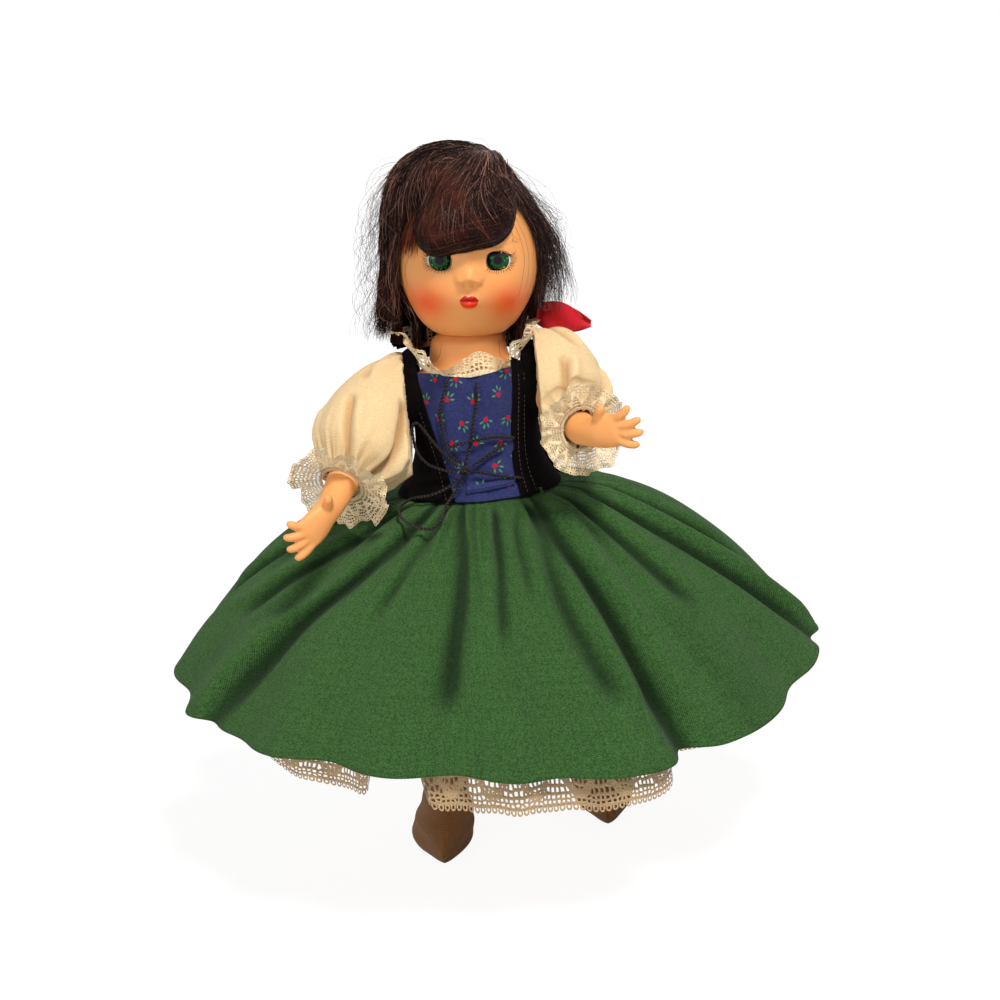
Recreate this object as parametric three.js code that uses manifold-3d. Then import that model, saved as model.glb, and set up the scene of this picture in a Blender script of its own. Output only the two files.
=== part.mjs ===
import * as THREE from "three";
import { mergeVertices } from "three/addons/utils/BufferGeometryUtils.js";
import Module from "manifold-3d";

const wasm = await Module();
wasm.setup();

// Millimetres. The doll faces -Y, its own right side is at -X, and it stands on z = 0.

// Gaps
const gap = 0.35; // between neighbouring pieces that touch in the real doll
const seamGap = 0.3; // between the two halves of a moulded shell

// Torso
const neckZ = 146; // height of the neck pivot
const neckR = 9; // rounded neck top
const torsoWall = 1.8;
const shoulderX = 15.4; // outer face of the torso at the arm
const shoulderZ = 135.5;
const armRootR = 6.6;
const hipX = 9.8;
const hipZ = 82;
const hipR = 8.8;

// Head
const chinRise = 4.5; // underside of the chin above the neck pivot
const headW = 20; // half width
const headF = 20.5; // centre to forehead
const headB = 21; // centre to back
const headH = 24; // half height
const headZ = neckZ + chinRise + headH; // centre of the skull
const headWall = 2.3;
const headLean = 5; // degrees towards the doll's left at rest
const eyeX = 7.8;
const eyeY = -12.2;
const eyeZ = headZ + 0.2;
const eyeR = 5.6;
const eyeOpenW = 7.4;
const eyeOpenH = 5.6;

// Dress
const clothT = 0.9;
const waistZ = 107.2; // seam between bodice and skirt
const waistW = 22.5;
const waistD = 17;
const hemRight = 94.85; // reach of the hem to each side
const hemLeft = 95.45;
const hemFront = 80;
const hemBack = 80.5;
const skirtT = 1;
const petticoatIn = 2.2; // petticoat inside the skirt, square to the cloth
const cordR = 0.45; // twisted lacing cord
const elasticR = 1;

// Colours
const skin = 0xe9b483;
const hairBrown = 0x2b1512;
const ivory = 0xe9d8b4;
const laceCream = 0xddcaa2;
const velvet = 0x0b090a;
const printBlue = 0x30356f;
const skirtGreen = 0x2c6433;
const ribbonRed = 0xb3101e;
const stockingTan = 0x77502c;
const steel = 0x9a9a98;
const rubber = 0xcfc3ae;

const rad = (degrees) => (degrees * Math.PI) / 180;
const group = new THREE.Group();

// Smooth values between rows that start with their position.
function along(rows, p) {
  const last = rows.length - 1;
  if (p <= rows[0][0]) return rows[0].slice(1);
  if (p >= rows[last][0]) return rows[last].slice(1);
  let i = 0;
  while (p > rows[i + 1][0]) i++;
  const step = rows[i + 1][0] - rows[i][0];
  const t = (p - rows[i][0]) / step;
  const slope = (j, k) => {
    const lo = Math.max(0, j - 1);
    const hi = Math.min(last, j + 1);
    return (rows[hi][k] - rows[lo][k]) / (rows[hi][0] - rows[lo][0]);
  };
  return rows[i].slice(1).map((a, c) => {
    const k = c + 1;
    const b = rows[i + 1][k];
    const h1 = 2 * t ** 3 - 3 * t ** 2 + 1;
    const h2 = t ** 3 - 2 * t ** 2 + t;
    const h3 = t ** 3 - t ** 2;
    return h1 * a + (1 - h1) * b + h2 * step * slope(i, k) + h3 * step * slope(i + 1, k);
  });
}

// Signed volume of an indexed geometry.
function volumeOf(geometry) {
  const p = geometry.attributes.position;
  const index = geometry.index.array;
  const a = new THREE.Vector3();
  const b = new THREE.Vector3();
  const c = new THREE.Vector3();
  let sum = 0;
  for (let i = 0; i < index.length; i += 3) {
    a.fromBufferAttribute(p, index[i]);
    b.fromBufferAttribute(p, index[i + 1]);
    c.fromBufferAttribute(p, index[i + 2]);
    sum += a.dot(b.cross(c)) / 6;
  }
  return sum;
}

function indexed(positions, faces) {
  const geometry = new THREE.BufferGeometry();
  geometry.setAttribute("position", new THREE.Float32BufferAttribute(positions, 3));
  geometry.setIndex(faces);
  if (volumeOf(geometry) < 0) {
    for (let i = 0; i < faces.length; i += 3) [faces[i], faces[i + 1]] = [faces[i + 1], faces[i]];
    geometry.setIndex(faces);
  }
  return geometry;
}

// Closed body through rings with equal point counts: capped at both ends, or joined end to end.
function chain(rings, joined = false) {
  const n = rings[0].length;
  const m = rings.length;
  const positions = rings.flat(2);
  const faces = [];
  const strips = joined ? m : m - 1;
  for (let k = 0; k < strips; k++) {
    const a = k * n;
    const b = ((k + 1) % m) * n;
    for (let j = 0; j < n; j++) {
      const j2 = (j + 1) % n;
      faces.push(a + j, a + j2, b + j2, a + j, b + j2, b + j);
    }
  }
  if (!joined) {
    [0, m - 1].forEach((k) => {
      const centre = [0, 1, 2].map((c) => rings[k].reduce((s, p) => s + p[c], 0) / n);
      const top = positions.length / 3;
      positions.push(...centre);
      for (let j = 0; j < n; j++) {
        const j2 = (j + 1) % n;
        if (k === 0) faces.push(top, k * n + j2, k * n + j);
        else faces.push(top, k * n + j, k * n + j2);
      }
    });
  }
  return indexed(positions, faces);
}

// Ring at one height with its own half width to each side and depth to front and back.
function ring(n, z, left, right, front, back, cx = 0, cy = 0) {
  return Array.from({ length: n }, (_, j) => {
    const t = (2 * Math.PI * j) / n;
    const x = Math.cos(t) * (Math.cos(t) > 0 ? right : left);
    const y = Math.sin(t) * (Math.sin(t) > 0 ? back : front);
    return [cx + x, cy + y, z];
  });
}

function solid(geometry) {
  const clean = geometry.clone();
  clean.deleteAttribute("normal");
  clean.deleteAttribute("uv");
  const merged = mergeVertices(clean, 1e-4);
  const triVerts = new Uint32Array(merged.index.array);
  const vertProperties = new Float32Array(merged.attributes.position.array);
  return new wasm.Manifold(new wasm.Mesh({ numProp: 3, vertProperties, triVerts }));
}

// Geometry of a solid, with edges shorter than the tolerance closed up.
function geometryOf(body) {
  const mesh = body.asOriginal().simplify(0.02).getMesh();
  return indexed(Array.from(mesh.vertProperties), Array.from(mesh.triVerts));
}

function box(x0, x1, y0, y1, z0, z1) {
  const made = new THREE.BoxGeometry(x1 - x0, y1 - y0, z1 - z0);
  made.translate((x0 + x1) / 2, (y0 + y1) / 2, (z0 + z1) / 2);
  return solid(made);
}

function ball(x, y, z, r, across = 24, down = 16) {
  const made = new THREE.SphereGeometry(r, across, down);
  made.rotateX(Math.PI / 2);
  made.translate(x, y, z);
  return solid(made);
}

function add(name, shape, color, roughness = 0.6, metalness = 0) {
  const geometry = shape.getMesh ? geometryOf(shape) : shape;
  geometry.computeVertexNormals();
  const material = new THREE.MeshStandardMaterial({ color, roughness, metalness });
  const mesh = new THREE.Mesh(geometry, material);
  mesh.name = name;
  group.add(mesh);
}

// Round tube through hand-placed points.
function tube(points, r, steps) {
  const path = new THREE.CatmullRomCurve3(points.map((p) => new THREE.Vector3(...p)));
  const round = new THREE.Shape();
  round.absarc(0, 0, r, 0, 2 * Math.PI, false);
  const made = new THREE.ExtrudeGeometry(round, { steps, curveSegments: 4, extrudePath: path });
  made.deleteAttribute("normal");
  made.deleteAttribute("uv");
  return mergeVertices(made, 1e-4);
}

// Cord with a ring every three diameters of its length.
function cord(points, r) {
  const path = new THREE.CatmullRomCurve3(points.map((p) => new THREE.Vector3(...p)));
  return tube(points, r, Math.round(path.getLength() / (6 * r)));
}

// Rings square to a path of [x, y, z, half width, half height], drawn in by an inset.
function ringsAlong(points, sides, inset = 0) {
  const path = new THREE.CatmullRomCurve3(points.map((p) => new THREE.Vector3(p[0], p[1], p[2])));
  const up = new THREE.Vector3(0, 0, 1);
  const count = points.length;
  return points.map((p, i) => {
    const forward = path.getTangent(i / (count - 1));
    const side = new THREE.Vector3().crossVectors(forward, up).normalize();
    const rise = new THREE.Vector3().crossVectors(side, forward).normalize();
    return Array.from({ length: sides }, (_, j) => {
      const t = (2 * Math.PI * j) / sides;
      const at = new THREE.Vector3(p[0], p[1], p[2]);
      at.addScaledVector(side, (p[3] - inset) * Math.cos(t));
      at.addScaledVector(rise, (p[4] - inset) * Math.sin(t));
      return [at.x, at.y, at.z];
    });
  });
}

// Torso: height, half width, front depth, back depth. The neck ends in a ball about the neck pivot.
const neckBall = [0.055, 0.445, 0.78, 0.967].map((share) => {
  const r = neckR * Math.sqrt(1 - share ** 2);
  return [neckZ + neckR * share, r, r, r];
});
const torsoRows = [
  [77.5, 5, 4, 4],
  [80, 11, 8, 9],
  [85, 15, 11.5, 12],
  [93, 16.6, 13.2, 12.8],
  [104, 16, 13.2, 11.8],
  [113, 15, 12.2, 11.2],
  [123, 14.6, 11.6, 10.8],
  [133, 15, 11.2, 10.4],
  [139, 14, 10.4, 9.6],
  [143, 10.6, 9.4, 9.2],
  ...neckBall,
];

function torsoLoft(grow, heights) {
  const rings = heights.map((z) => {
    const [w, f, b] = along(torsoRows, z);
    return ring(16, z, w + grow, w + grow, f + grow, b + grow);
  });
  return solid(chain(rings));
}

const torsoHeights = [80.5, 85, 92, 103, 114, 126, 135, 140, 143.6];
const neckHeights = [0.11, 0.445, 0.755, 0.967].map((share) => neckZ + neckR * share);
const bodyOuter = torsoLoft(0, [...torsoHeights, ...neckHeights]);
const sockets = [-1, 1].map((s) => ball(s * hipX, 0, hipZ, hipR + gap, 14, 9));
const socketBacks = [-1, 1].map((s) => ball(s * hipX, 0, hipZ, hipR + gap + torsoWall, 8, 5));
let cavity = torsoLoft(-torsoWall, [84, 95, 110, 130, 141, neckHeights[1]]);
socketBacks.forEach((b) => (cavity = cavity.subtract(b)));
let body = bodyOuter.subtract(cavity);
sockets.forEach((b) => (body = body.subtract(b)));
// Holes for the neck hook, the arm hooks and the swinging leg hooks
body = body.subtract(box(-3, 3, -3, 3, neckZ - 6, neckZ + 14));
body = body.subtract(box(-30, -9, -2.6, 2.6, shoulderZ - 2.6, shoulderZ + 2.6));
body = body.subtract(box(9, 30, -2.6, 2.6, shoulderZ - 2.6, shoulderZ + 2.6));
body = body.subtract(box(-hipX - 2, -hipX + 2, -8.6, 8.6, 84, 97));
body = body.subtract(box(hipX - 2, hipX + 2, -8.6, 8.6, 84, 97));
// Flat faces where the arms turn
body = body.subtract(box(-40, -shoulderX, -20, 20, shoulderZ - 9, shoulderZ + 9));
body = body.subtract(box(shoulderX, 40, -20, 20, shoulderZ - 9, shoulderZ + 9));
add("torso_front", body.subtract(box(-40, 40, -seamGap / 2, 40, 60, 170)), skin, 0.45);
add("torso_back", body.subtract(box(-40, 40, -40, seamGap / 2, 60, 170)), skin, 0.45);

// Elastics
const elastics = {
  arm_elastic: [
    [-10.4, 0, shoulderZ],
    [-4, 0, shoulderZ - 0.4],
    [4, 0, shoulderZ - 0.4],
    [10.4, 0, shoulderZ],
  ],
  leg_elastic: [
    [-7.9, 0.2, 97],
    [-3, 0, 97.4],
    [3, 0, 97.4],
    [7.9, 0.2, 97],
  ],
  head_elastic: [
    [0, 2.6, 139.2],
    [0, 3, 128],
    [0, 3, 112],
    [0, 1.6, 99.4],
  ],
};
Object.entries(elastics).forEach(([name, points]) => add(name, cord(points, elasticR), rubber, 0.8));

// Swellings and hollows of the face: across, above the skull's centre, half width, half height, amount
const faceBumps = [
  [0, 10.5, 12, 8, 0.8],
  [11.5, -10, 6.2, 5.6, 1.5],
  [-11.5, -10, 6.2, 5.6, 1.5],
  [0, -19.1, 5.4, 3.4, 1.7],
  [0, -11.3, 6, 4.6, 0.9],
  [0, -10.5, 2.6, 1.4, 0.8],
  [0, -3.5, 2.7, 2.3, 2.9],
  [0, 1, 1.9, 3.4, 0.6],
  [eyeX, 0.3, 5, 3.8, -1.1],
  [-eyeX, 0.3, 5, 3.8, -1.1],
];

// Point of the moulded skin for a turn from the front and a rise, both in degrees, grown outwards.
function headPoint(turn, rise, grow) {
  const dx = Math.cos(rad(rise)) * Math.sin(rad(turn));
  const dy = -Math.cos(rad(rise)) * Math.cos(rad(turn));
  const dz = Math.sin(rad(rise));
  const z = headZ + (headH + grow) * dz;
  const low = Math.min(1, Math.max(0, (headZ - 4.5 - z) / 18));
  const jaw = 1 - 0.14 * low * low * (3 - 2 * low);
  const x = (headW + grow) * dx * jaw;
  let y = (dy < 0 ? headF + grow : headB + grow) * dy;
  if (dy < 0) {
    faceBumps.forEach(([bx, bz, wx, wz, amount]) => {
      y -= amount * -dy * Math.exp(-(((x - bx) / wx) ** 2) - ((z - headZ - bz) / wz) ** 2);
    });
  }
  return [x, y, z];
}

// Finer steps over the face than over the rest of the skull
const halfTurns = [8, 17, 27, 38, 52, 70, 92, 118, 148];
const headTurns = [0, ...halfTurns, 180, ...halfTurns.map((t) => 360 - t).reverse()];
const headRises = [-88, -70, -56, -46, -36, -27, -18, -8.4, 0, 8, 19, 34, 50, 68, 88];

function headLoft(grow) {
  const rings = headRises.map((rise) => headTurns.map((turn) => headPoint(turn, rise, grow)));
  return solid(chain(rings));
}

// Everything on the head leans with it about the neck pivot.
function lean(shape) {
  const geometry = shape.getMesh ? geometryOf(shape) : shape;
  geometry.translate(0, 0, -neckZ);
  geometry.rotateY(rad(headLean));
  geometry.translate(0, 0, neckZ);
  return geometry;
}

let skull = headLoft(0);
const insideRises = [-85, -55, -25, 0, 30, 60, 85];
const insideTurns = [0, 36, 72, 108, 144, 180, 216, 252, 288, 324];
function insidePoint(turn, rise) {
  const p = headPoint(turn, rise, -headWall);
  return [p[0], Math.max(p[1], -17.4), p[2]];
}
const insideRings = insideRises.map((rise) => insideTurns.map((turn) => insidePoint(turn, rise)));
const skullCavity = solid(chain(insideRings));
skull = skull.subtract(skullCavity);
skull = skull.subtract(ball(0, 0, neckZ, neckR + 0.4, 20, 14));
[-1, 1].forEach((s) => {
  const opening = new THREE.CylinderGeometry(1, 1, 14, 14);
  opening.scale(eyeOpenW / 2, 1, eyeOpenH / 2);
  opening.translate(s * eyeX, -16, eyeZ);
  skull = skull.subtract(solid(opening));
  skull = skull.subtract(ball(s * eyeX, eyeY, eyeZ, eyeR + gap, 14, 9));
});
const headSeam = 4;
const behindSeam = box(-60, 60, headSeam - seamGap / 2, 60, 100, 230);
const aheadOfSeam = box(-60, 60, -60, headSeam + seamGap / 2, 100, 230);
add("head_front", lean(skull.subtract(behindSeam)), skin, 0.42);
add("head_back", lean(skull.subtract(aheadOfSeam)), skin, 0.42);

// Sleeping eyes with lash strips, joined by a wire that carries a weight below and behind
[
  ["right", -1],
  ["left", 1],
].forEach(([side, s]) => {
  const eye = new THREE.SphereGeometry(eyeR, 14, 9);
  eye.translate(s * eyeX, eyeY, eyeZ);
  add(side + "_eye", lean(solid(eye)), 0x1d6b3a, 0.1);
  const lash = [-1.7, -0.85, 0, 0.85, 1.7].map((x) => {
    const rise = rad(19.5 - 0.3 * x * x);
    const near = Math.sqrt((eyeR + gap) ** 2 - x * x);
    const far = near + 0.9;
    const up = [0.2 * Math.sin(rise), 0.2 * Math.cos(rise)];
    const out = (r, k) => [
      s * eyeX + x,
      eyeY - r * Math.cos(rise) + k * up[0],
      eyeZ + r * Math.sin(rise) + k * up[1],
    ];
    return [out(near, 0), out(far, 0), out(far, 1), out(near, 1)];
  });
  add(side + "_lashes", lean(chain(lash)), 0x120c0a, 0.7);
});
add(
  "eye_rocker",
  lean(tube([[-1.6, eyeY, eyeZ], [-0.6, eyeY + 1.6, eyeZ - 2.4], [0, eyeY + 3.8, eyeZ - 5.2]], 0.5, 6)),
  steel,
  0.3,
  1,
);
add("eye_weight", lean(ball(0, eyeY + 5, eyeZ - 8.4, 2.7, 10, 7)), 0x5c5c60, 0.5, 1);

// Hair. Outer shape by height above the skull's centre: reach to the doll's right, left, front and back.
const hairRows = [
  [-36.5, 17, 12, 9, 19],
  [-31.5, 24, 14, 9, 21],
  [-25.5, 28, 20, 9, 22],
  [-21.5, 28.5, 27, 9, 22.5],
  [-16.5, 28, 31, 10, 23],
  [-9.5, 27.5, 32, 11, 24],
  [-1.5, 26.5, 30, 14, 24],
  [5.5, 25.5, 26.5, 18, 24],
  [13.5, 23.5, 23, 20, 22.5],
  [20.5, 18.5, 18, 17.5, 19],
  [25.5, 11.5, 11, 11.5, 13],
  [29, 3, 3, 3, 3],
];
const hairLift = 1.3; // hair clear of the skull, over the cap
const capLift = 0.4;
const capT = 0.55;
const hairPoints = [-36.5, -31.5, -26.5, -21.5, -16.5, -9.5, -2.5, 5.5, 13.5, 19.5, 24.5, 29];
let hair = solid(chain(hairPoints.map((up) => ring(28, headZ + up, ...along(hairRows, up)))));
hair = hair.subtract(headLoft(hairLift));
const faceEdge = [
  [-17, headZ - 54.5],
  [-18.6, headZ - 14.5],
  [-18.9, headZ - 2.5],
  [-17.5, headZ + 6.5],
  [-11, headZ + 14],
  [2, headZ + 17],
  [12, headZ + 14.5],
  [17, headZ + 7.5],
  [18.4, headZ - 3.5],
  [17.8, headZ - 14.5],
  [16.5, headZ - 54.5],
];
function prism(outline, y0, y1) {
  const shape = new THREE.Shape(outline.map((p) => new THREE.Vector2(p[0], p[1])));
  const made = new THREE.ExtrudeGeometry(shape, { depth: y1 - y0, bevelEnabled: false });
  made.rotateX(Math.PI / 2);
  made.translate(0, y1, 0);
  return solid(made);
}
hair = hair.subtract(prism(faceEdge, -60, -3.5));
// Room for the neck, the collar and the shoulders under the sides and back of the hair
hair = hair.subtract(box(-60, 60, -60, 13.6, 100, neckZ + 7));
hair = hair.subtract(box(-60, 60, -60, 17.4, 100, neckZ + 1.5));
hair = hair.subtract(box(-19.8, 18, -60, 12.5, 100, neckZ + 11.5));
hair = hair.subtract(box(14, 60, -60, 0, 100, neckZ + 10));
// Room for the ribbon below the left lock
hair = hair.subtract(box(16.5, 60, -3, 12.4, 100, neckZ + 14.5));

// The fringe sweeps from the parting down to the doll's right: turn, lower and upper rise, thickness.
const fringeRows = [
  [-66, 4, 40, 2],
  [-52, 5, 50, 4],
  [-35, 4, 58, 5],
  [-15, 8, 62, 5],
  [5, 10, 62, 4.6],
  [22, 13, 60, 4.2],
  [38, 22, 56, 3],
  [50, 34, 50, 1.6],
];
const fringeLift = 1;
function fringeLoft(grow) {
  const turns = [-66, -56, -45, -34, -22, -10, 2, 14, 26, 38, 50];
  return solid(
    chain(
      turns.map((turn, i) => {
        const [low, high, thick] = along(fringeRows, turn);
        const shift = i === 0 ? -grow * 3 : i === turns.length - 1 ? grow * 3 : 0;
        const lowest = low - grow * 2.6;
        const highest = high + grow * 2.6;
        const inner = [0, 0.33, 0.66, 1].map((t) =>
          headPoint(turn + shift, lowest + (highest - lowest) * t, fringeLift - grow),
        );
        const outer = [0.97, 0.7, 0.4, 0.14, 0.02].map((t) =>
          headPoint(
            turn + shift,
            lowest + (highest - lowest) * t,
            fringeLift + grow + thick * Math.sqrt(Math.min(1, 4 * (t < 0.5 ? t + 0.05 : 1 - t))),
          ),
        );
        return [...inner, ...outer];
      }),
    ),
  );
}
const fringe = fringeLoft(0).subtract(headLoft(hairLift));
add("hair_fringe", lean(fringe), hairBrown, 0.45);
hair = hair.subtract(fringeLoft(gap));

const backY = 4; // split between side and back hair
const crownZ = headZ + 6.5;
const halfGap = gap / 2;
add("hair_crown", lean(hair.subtract(box(-60, 60, -60, 60, 100, crownZ + halfGap))), hairBrown, 0.45);
const lower = hair.subtract(box(-60, 60, -60, 60, crownZ - halfGap, 240));
add("hair_back", lean(lower.subtract(box(-60, 60, -60, backY + halfGap, 100, 240))), hairBrown, 0.45);
const sides = lower.subtract(box(-60, 60, backY - halfGap, 60, 100, 240));
add("hair_lock_right", lean(sides.subtract(box(0, 60, -60, 60, 100, 240))), hairBrown, 0.45);
add("hair_lock_left", lean(sides.subtract(box(-60, 0, -60, 60, 100, 240))), hairBrown, 0.45);
let cap = headLoft(capLift + capT).subtract(headLoft(capLift));
cap = cap.subtract(prism(faceEdge, -60, 0));
cap = cap.subtract(box(-60, 60, -60, 60, 100, headZ - 14.5));
add("wig_cap", lean(cap), 0x3a2c26, 0.9);

// Dress: bodice by height: half width, front depth, back depth
const bodiceRows = [
  [107.6, 23, 17.5, 16],
  [110, 21.4, 16.6, 15],
  [114, 19, 15.4, 14],
  [120, 17.4, 14.6, 13.4],
  [128, 16.9, 14.2, 13],
  [136, 17, 13.9, 12.6],
  [143.5, 16.6, 12.8, 12],
];

// Turn around the body is 0 at the front and grows towards the doll's left.
function bodicePoint(turn, z, grow) {
  const [w, f, b] = along(bodiceRows, z);
  const x = (w + grow) * Math.sin(rad(turn));
  const y = -Math.cos(rad(turn)) * (Math.cos(rad(turn)) > 0 ? f + grow : b + grow);
  return [x, y, z];
}

// Curved panel between two edges that may slant: low and high give their turns at the bottom and the top.
function panel(fromLow, fromHigh, toLow, toHigh, zLow, zHigh, lift, across, down) {
  const rows = [];
  for (let k = 0; k <= down; k++) {
    const t = k / down;
    const line = [];
    for (let j = 0; j <= across; j++) {
      const u = j / across;
      const a = fromLow + (fromHigh - fromLow) * t;
      const b = toLow + (toHigh - toLow) * t;
      const z = zLow + (zHigh[0] + (zHigh[1] - zHigh[0]) * u - zLow) * t;
      line.push([a + (b - a) * u, z]);
    }
    const outer = line.map(([turn, z]) => bodicePoint(turn, z, lift + clothT));
    const inner = line.map(([turn, z]) => bodicePoint(turn, z, lift)).reverse();
    rows.push([...outer, ...inner]);
  }
  return chain(rows);
}

const armholeR = 8.3;
const armhole = solid(
  new THREE.CylinderGeometry(armholeR, armholeR, 60, 14).rotateZ(Math.PI / 2).translate(0, 0, shoulderZ),
);

// A panel with the armhole cut out
function solidPanel(...edges) {
  return solid(panel(...edges)).subtract(armhole);
}

const edge = 1.4; // gap between neighbouring panels, in degrees
const bodiceTop = 143.5;
// Slanting edges of the printed panel: turn at the waist and at the neckline
const printRight = [-17, -62];
const printLeft = [27, 42];
add(
  "bodice_front_panel",
  panel(printRight[0], printRight[1], printLeft[0], printLeft[1], waistZ + gap, [142.6, 142.6], 0, 8, 6),
  printBlue,
  0.85,
);
add(
  "bodice_side_right",
  solidPanel(
    -112,
    -112,
    printRight[0] - edge,
    printRight[1] - edge,
    waistZ + gap,
    [134.5, bodiceTop],
    0,
    7,
    6,
  ),
  velvet,
  0.95,
);
add(
  "bodice_side_left",
  solidPanel(printLeft[0] + edge, printLeft[1] + edge, 112, 112, waistZ + gap, [bodiceTop, 134.5], 0, 7, 6),
  velvet,
  0.95,
);
add(
  "bodice_back_right",
  solidPanel(174, 174, 246.5, 246.5, waistZ + gap, [143, 134.5], 0, 6, 5),
  velvet,
  0.95,
);
const overlap = 2.4; // the left back panel closes over the right one
add(
  "bodice_back_left",
  solidPanel(113.5, 113.5, 186, 186, waistZ + gap, [134.5, 143], overlap, 6, 5),
  velvet,
  0.95,
);

// Two fasteners between the overlapping back edges
const snapR = 1.8;
const snapT = 0.3;
[
  ["upper", 137],
  ["lower", 118],
].forEach(([where, z]) => {
  [
    ["socket", 0],
    ["stud", snapT + 0.1],
  ].forEach(([part, step]) => {
    const disc = new THREE.CylinderGeometry(snapR, snapR, snapT, 10);
    const at = bodicePoint(180, z, clothT + 0.3 + step + snapT / 2);
    disc.translate(at[0], at[1], at[2]);
    add("snap_" + where + "_" + part, solid(disc), steel, 0.35, 1);
  });
});

// Height of the skirt's hem by turn
const hemHeight = [
  [-180, 60],
  [-140, 62],
  [-100, 59],
  [-80, 55.5],
  [-60, 55.5],
  [-35, 55.5],
  [-12, 52],
  [10, 49],
  [35, 46.5],
  [60, 51.5],
  [90, 58],
  [140, 61],
  [180, 60],
];
// How soon the skirt swells out below the waist, by turn: less is sooner
const swell = [
  [-180, 0.52],
  [-90, 0.48],
  [-45, 0.6],
  [0, 0.7],
  [45, 0.62],
  [90, 0.52],
  [180, 0.52],
];
// Folds of the skirt: turn, width in degrees, depth as a share of the reach
const folds = [
  [-8, 7, 0.07],
  [9, 5, 0.045],
  [36, 7, 0.13],
  [62, 6, 0.06],
  [96, 8, 0.1],
  [122, 8, 0.11],
  [150, 8, 0.1],
  [178, 8, 0.1],
  [-30, 6, 0.05],
  [-52, 7, 0.07],
  [-74, 6, 0.05],
  [-99, 7, 0.13],
  [-126, 8, 0.1],
  [-152, 8, 0.11],
];

// Point of the skirt for a turn in degrees and a share of the way down to the hem, set in from the cloth.
function skirtPoint(turn, share, inward, drop) {
  const signed = turn > 180 ? turn - 360 : turn;
  const [power] = along(swell, signed);
  const [hem] = along(hemHeight, signed);
  const bell = share ** power;
  let fold = 0;
  folds.forEach(([at, width, depth]) => {
    const away = ((turn - at + 540) % 360) - 180;
    fold += depth * Math.exp(-((away / width) ** 2));
  });
  const deep = 1 - fold * Math.min(1, 0.15 + 1.1 * share);
  const side = signed < 0 ? hemRight : hemLeft;
  const spread = side - waistW;
  const run = spread * power * Math.max(share, 0.01) ** (power - 1);
  const fall = waistZ - hem;
  const length = Math.hypot(run, fall);
  const inset = (inward * fall) / length;
  const w = (waistW + spread * bell) * deep - inset;
  const reach = Math.abs(signed) < 90 ? hemFront : hemBack;
  const d = (waistD + (reach - waistD) * bell) * deep - inset;
  const z = waistZ - fall * share - (inward * run) / length - drop;
  return [w * Math.sin(rad(turn)), -d * Math.cos(rad(turn)), z];
}

const skirtTurns = 60;
function skirtRing(share, inward, drop = () => 0) {
  return Array.from({ length: skirtTurns }, (_, j) => {
    const turn = (360 * j) / skirtTurns;
    return skirtPoint(turn, share, inward, drop(turn));
  });
}

// Cloth between two faces: rings down the outside, then back up the inside, joined at both edges.
function cloth(shares, inward, thick) {
  const outside = shares.map((t) => skirtRing(t, inward));
  const inside = [...shares].reverse().map((t) => skirtRing(t, inward + thick));
  return chain([...outside, ...inside], true);
}

add("skirt", cloth([0, 0.03, 0.1, 0.25, 0.45, 0.7, 1], 0, skirtT), skirtGreen, 0.85);
const petticoatT = 0.8;
const petticoatEnd = 0.86;
add("petticoat", cloth([0, 0.04, 0.16, 0.45, petticoatEnd], petticoatIn, petticoatT), ivory, 0.85);
// How far the petticoat lace hangs below the hem, by turn
const laceBelow = [
  [-180, -1.5],
  [-60, -1],
  [-42, 4],
  [-28, 8],
  [-5, 9],
  [15, 9],
  [25, 6],
  [40, 2.5],
  [60, -1],
  [180, -1.5],
];
const laceDrop = (part) => (turn) => part * (3 + along(laceBelow, turn > 180 ? turn - 360 : turn)[0]);
const laceStart = petticoatEnd + 0.015;
const laceT = 0.7;
const laceRings = [
  skirtRing(laceStart, petticoatIn),
  skirtRing(0.94, petticoatIn - 0.2, laceDrop(0.4)),
  skirtRing(0.95, petticoatIn - 0.6, laceDrop(1)),
  skirtRing(0.95, petticoatIn - 0.6 + laceT, laceDrop(1)),
  skirtRing(0.94, petticoatIn - 0.2 + laceT, laceDrop(0.4)),
  skirtRing(laceStart, petticoatIn + laceT),
];
add("petticoat_lace", chain(laceRings, true), laceCream, 0.8);

// Panties around the hips, open for the waist and the legs
let panties = torsoLoft(1.3, [80.6, 85, 92, 103]).subtract(torsoLoft(0.4, [80.5, 85, 92, 103.4]));
[-1, 1].forEach((s) => (panties = panties.subtract(ball(s * hipX, 0, hipZ, hipR + 0.9, 10, 7))));
add("panties", panties, ivory, 0.9);

// Collar lace stands around the neckline and is open at the back: turn, base height, side and front reach
const collarRows = [
  [0, 144.2, 15.4, 14.4],
  [45, 144.9, 15.4, 13.8],
  [90, 147.6, 15.9, 12],
  [130, 148.6, 14.6, 11.2],
  [166, 147.4, 13.6, 11],
];
const collarH = 6.4;
const collarT = 0.6;
const collarRings = [];
for (let turn = -166; turn <= 166; turn += 10.375) {
  const [z, w, d] = along(collarRows, Math.abs(turn));
  const wave = Math.sin(rad(turn * 7.2));
  const point = (out, rise) => [
    (w + out) * Math.sin(rad(turn)),
    -(d + out) * Math.cos(rad(turn)),
    z + rise,
  ];
  const top = 0.9 * wave + 0.3;
  const up = collarH - 0.5 * Math.abs(wave);
  collarRings.push([
    point(-collarT / 2, 0),
    point(collarT / 2, 0),
    point(top + collarT / 2, up),
    point(top - collarT / 2, up),
  ]);
}
add("collar_lace", chain(collarRings), laceCream, 0.85);

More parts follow.
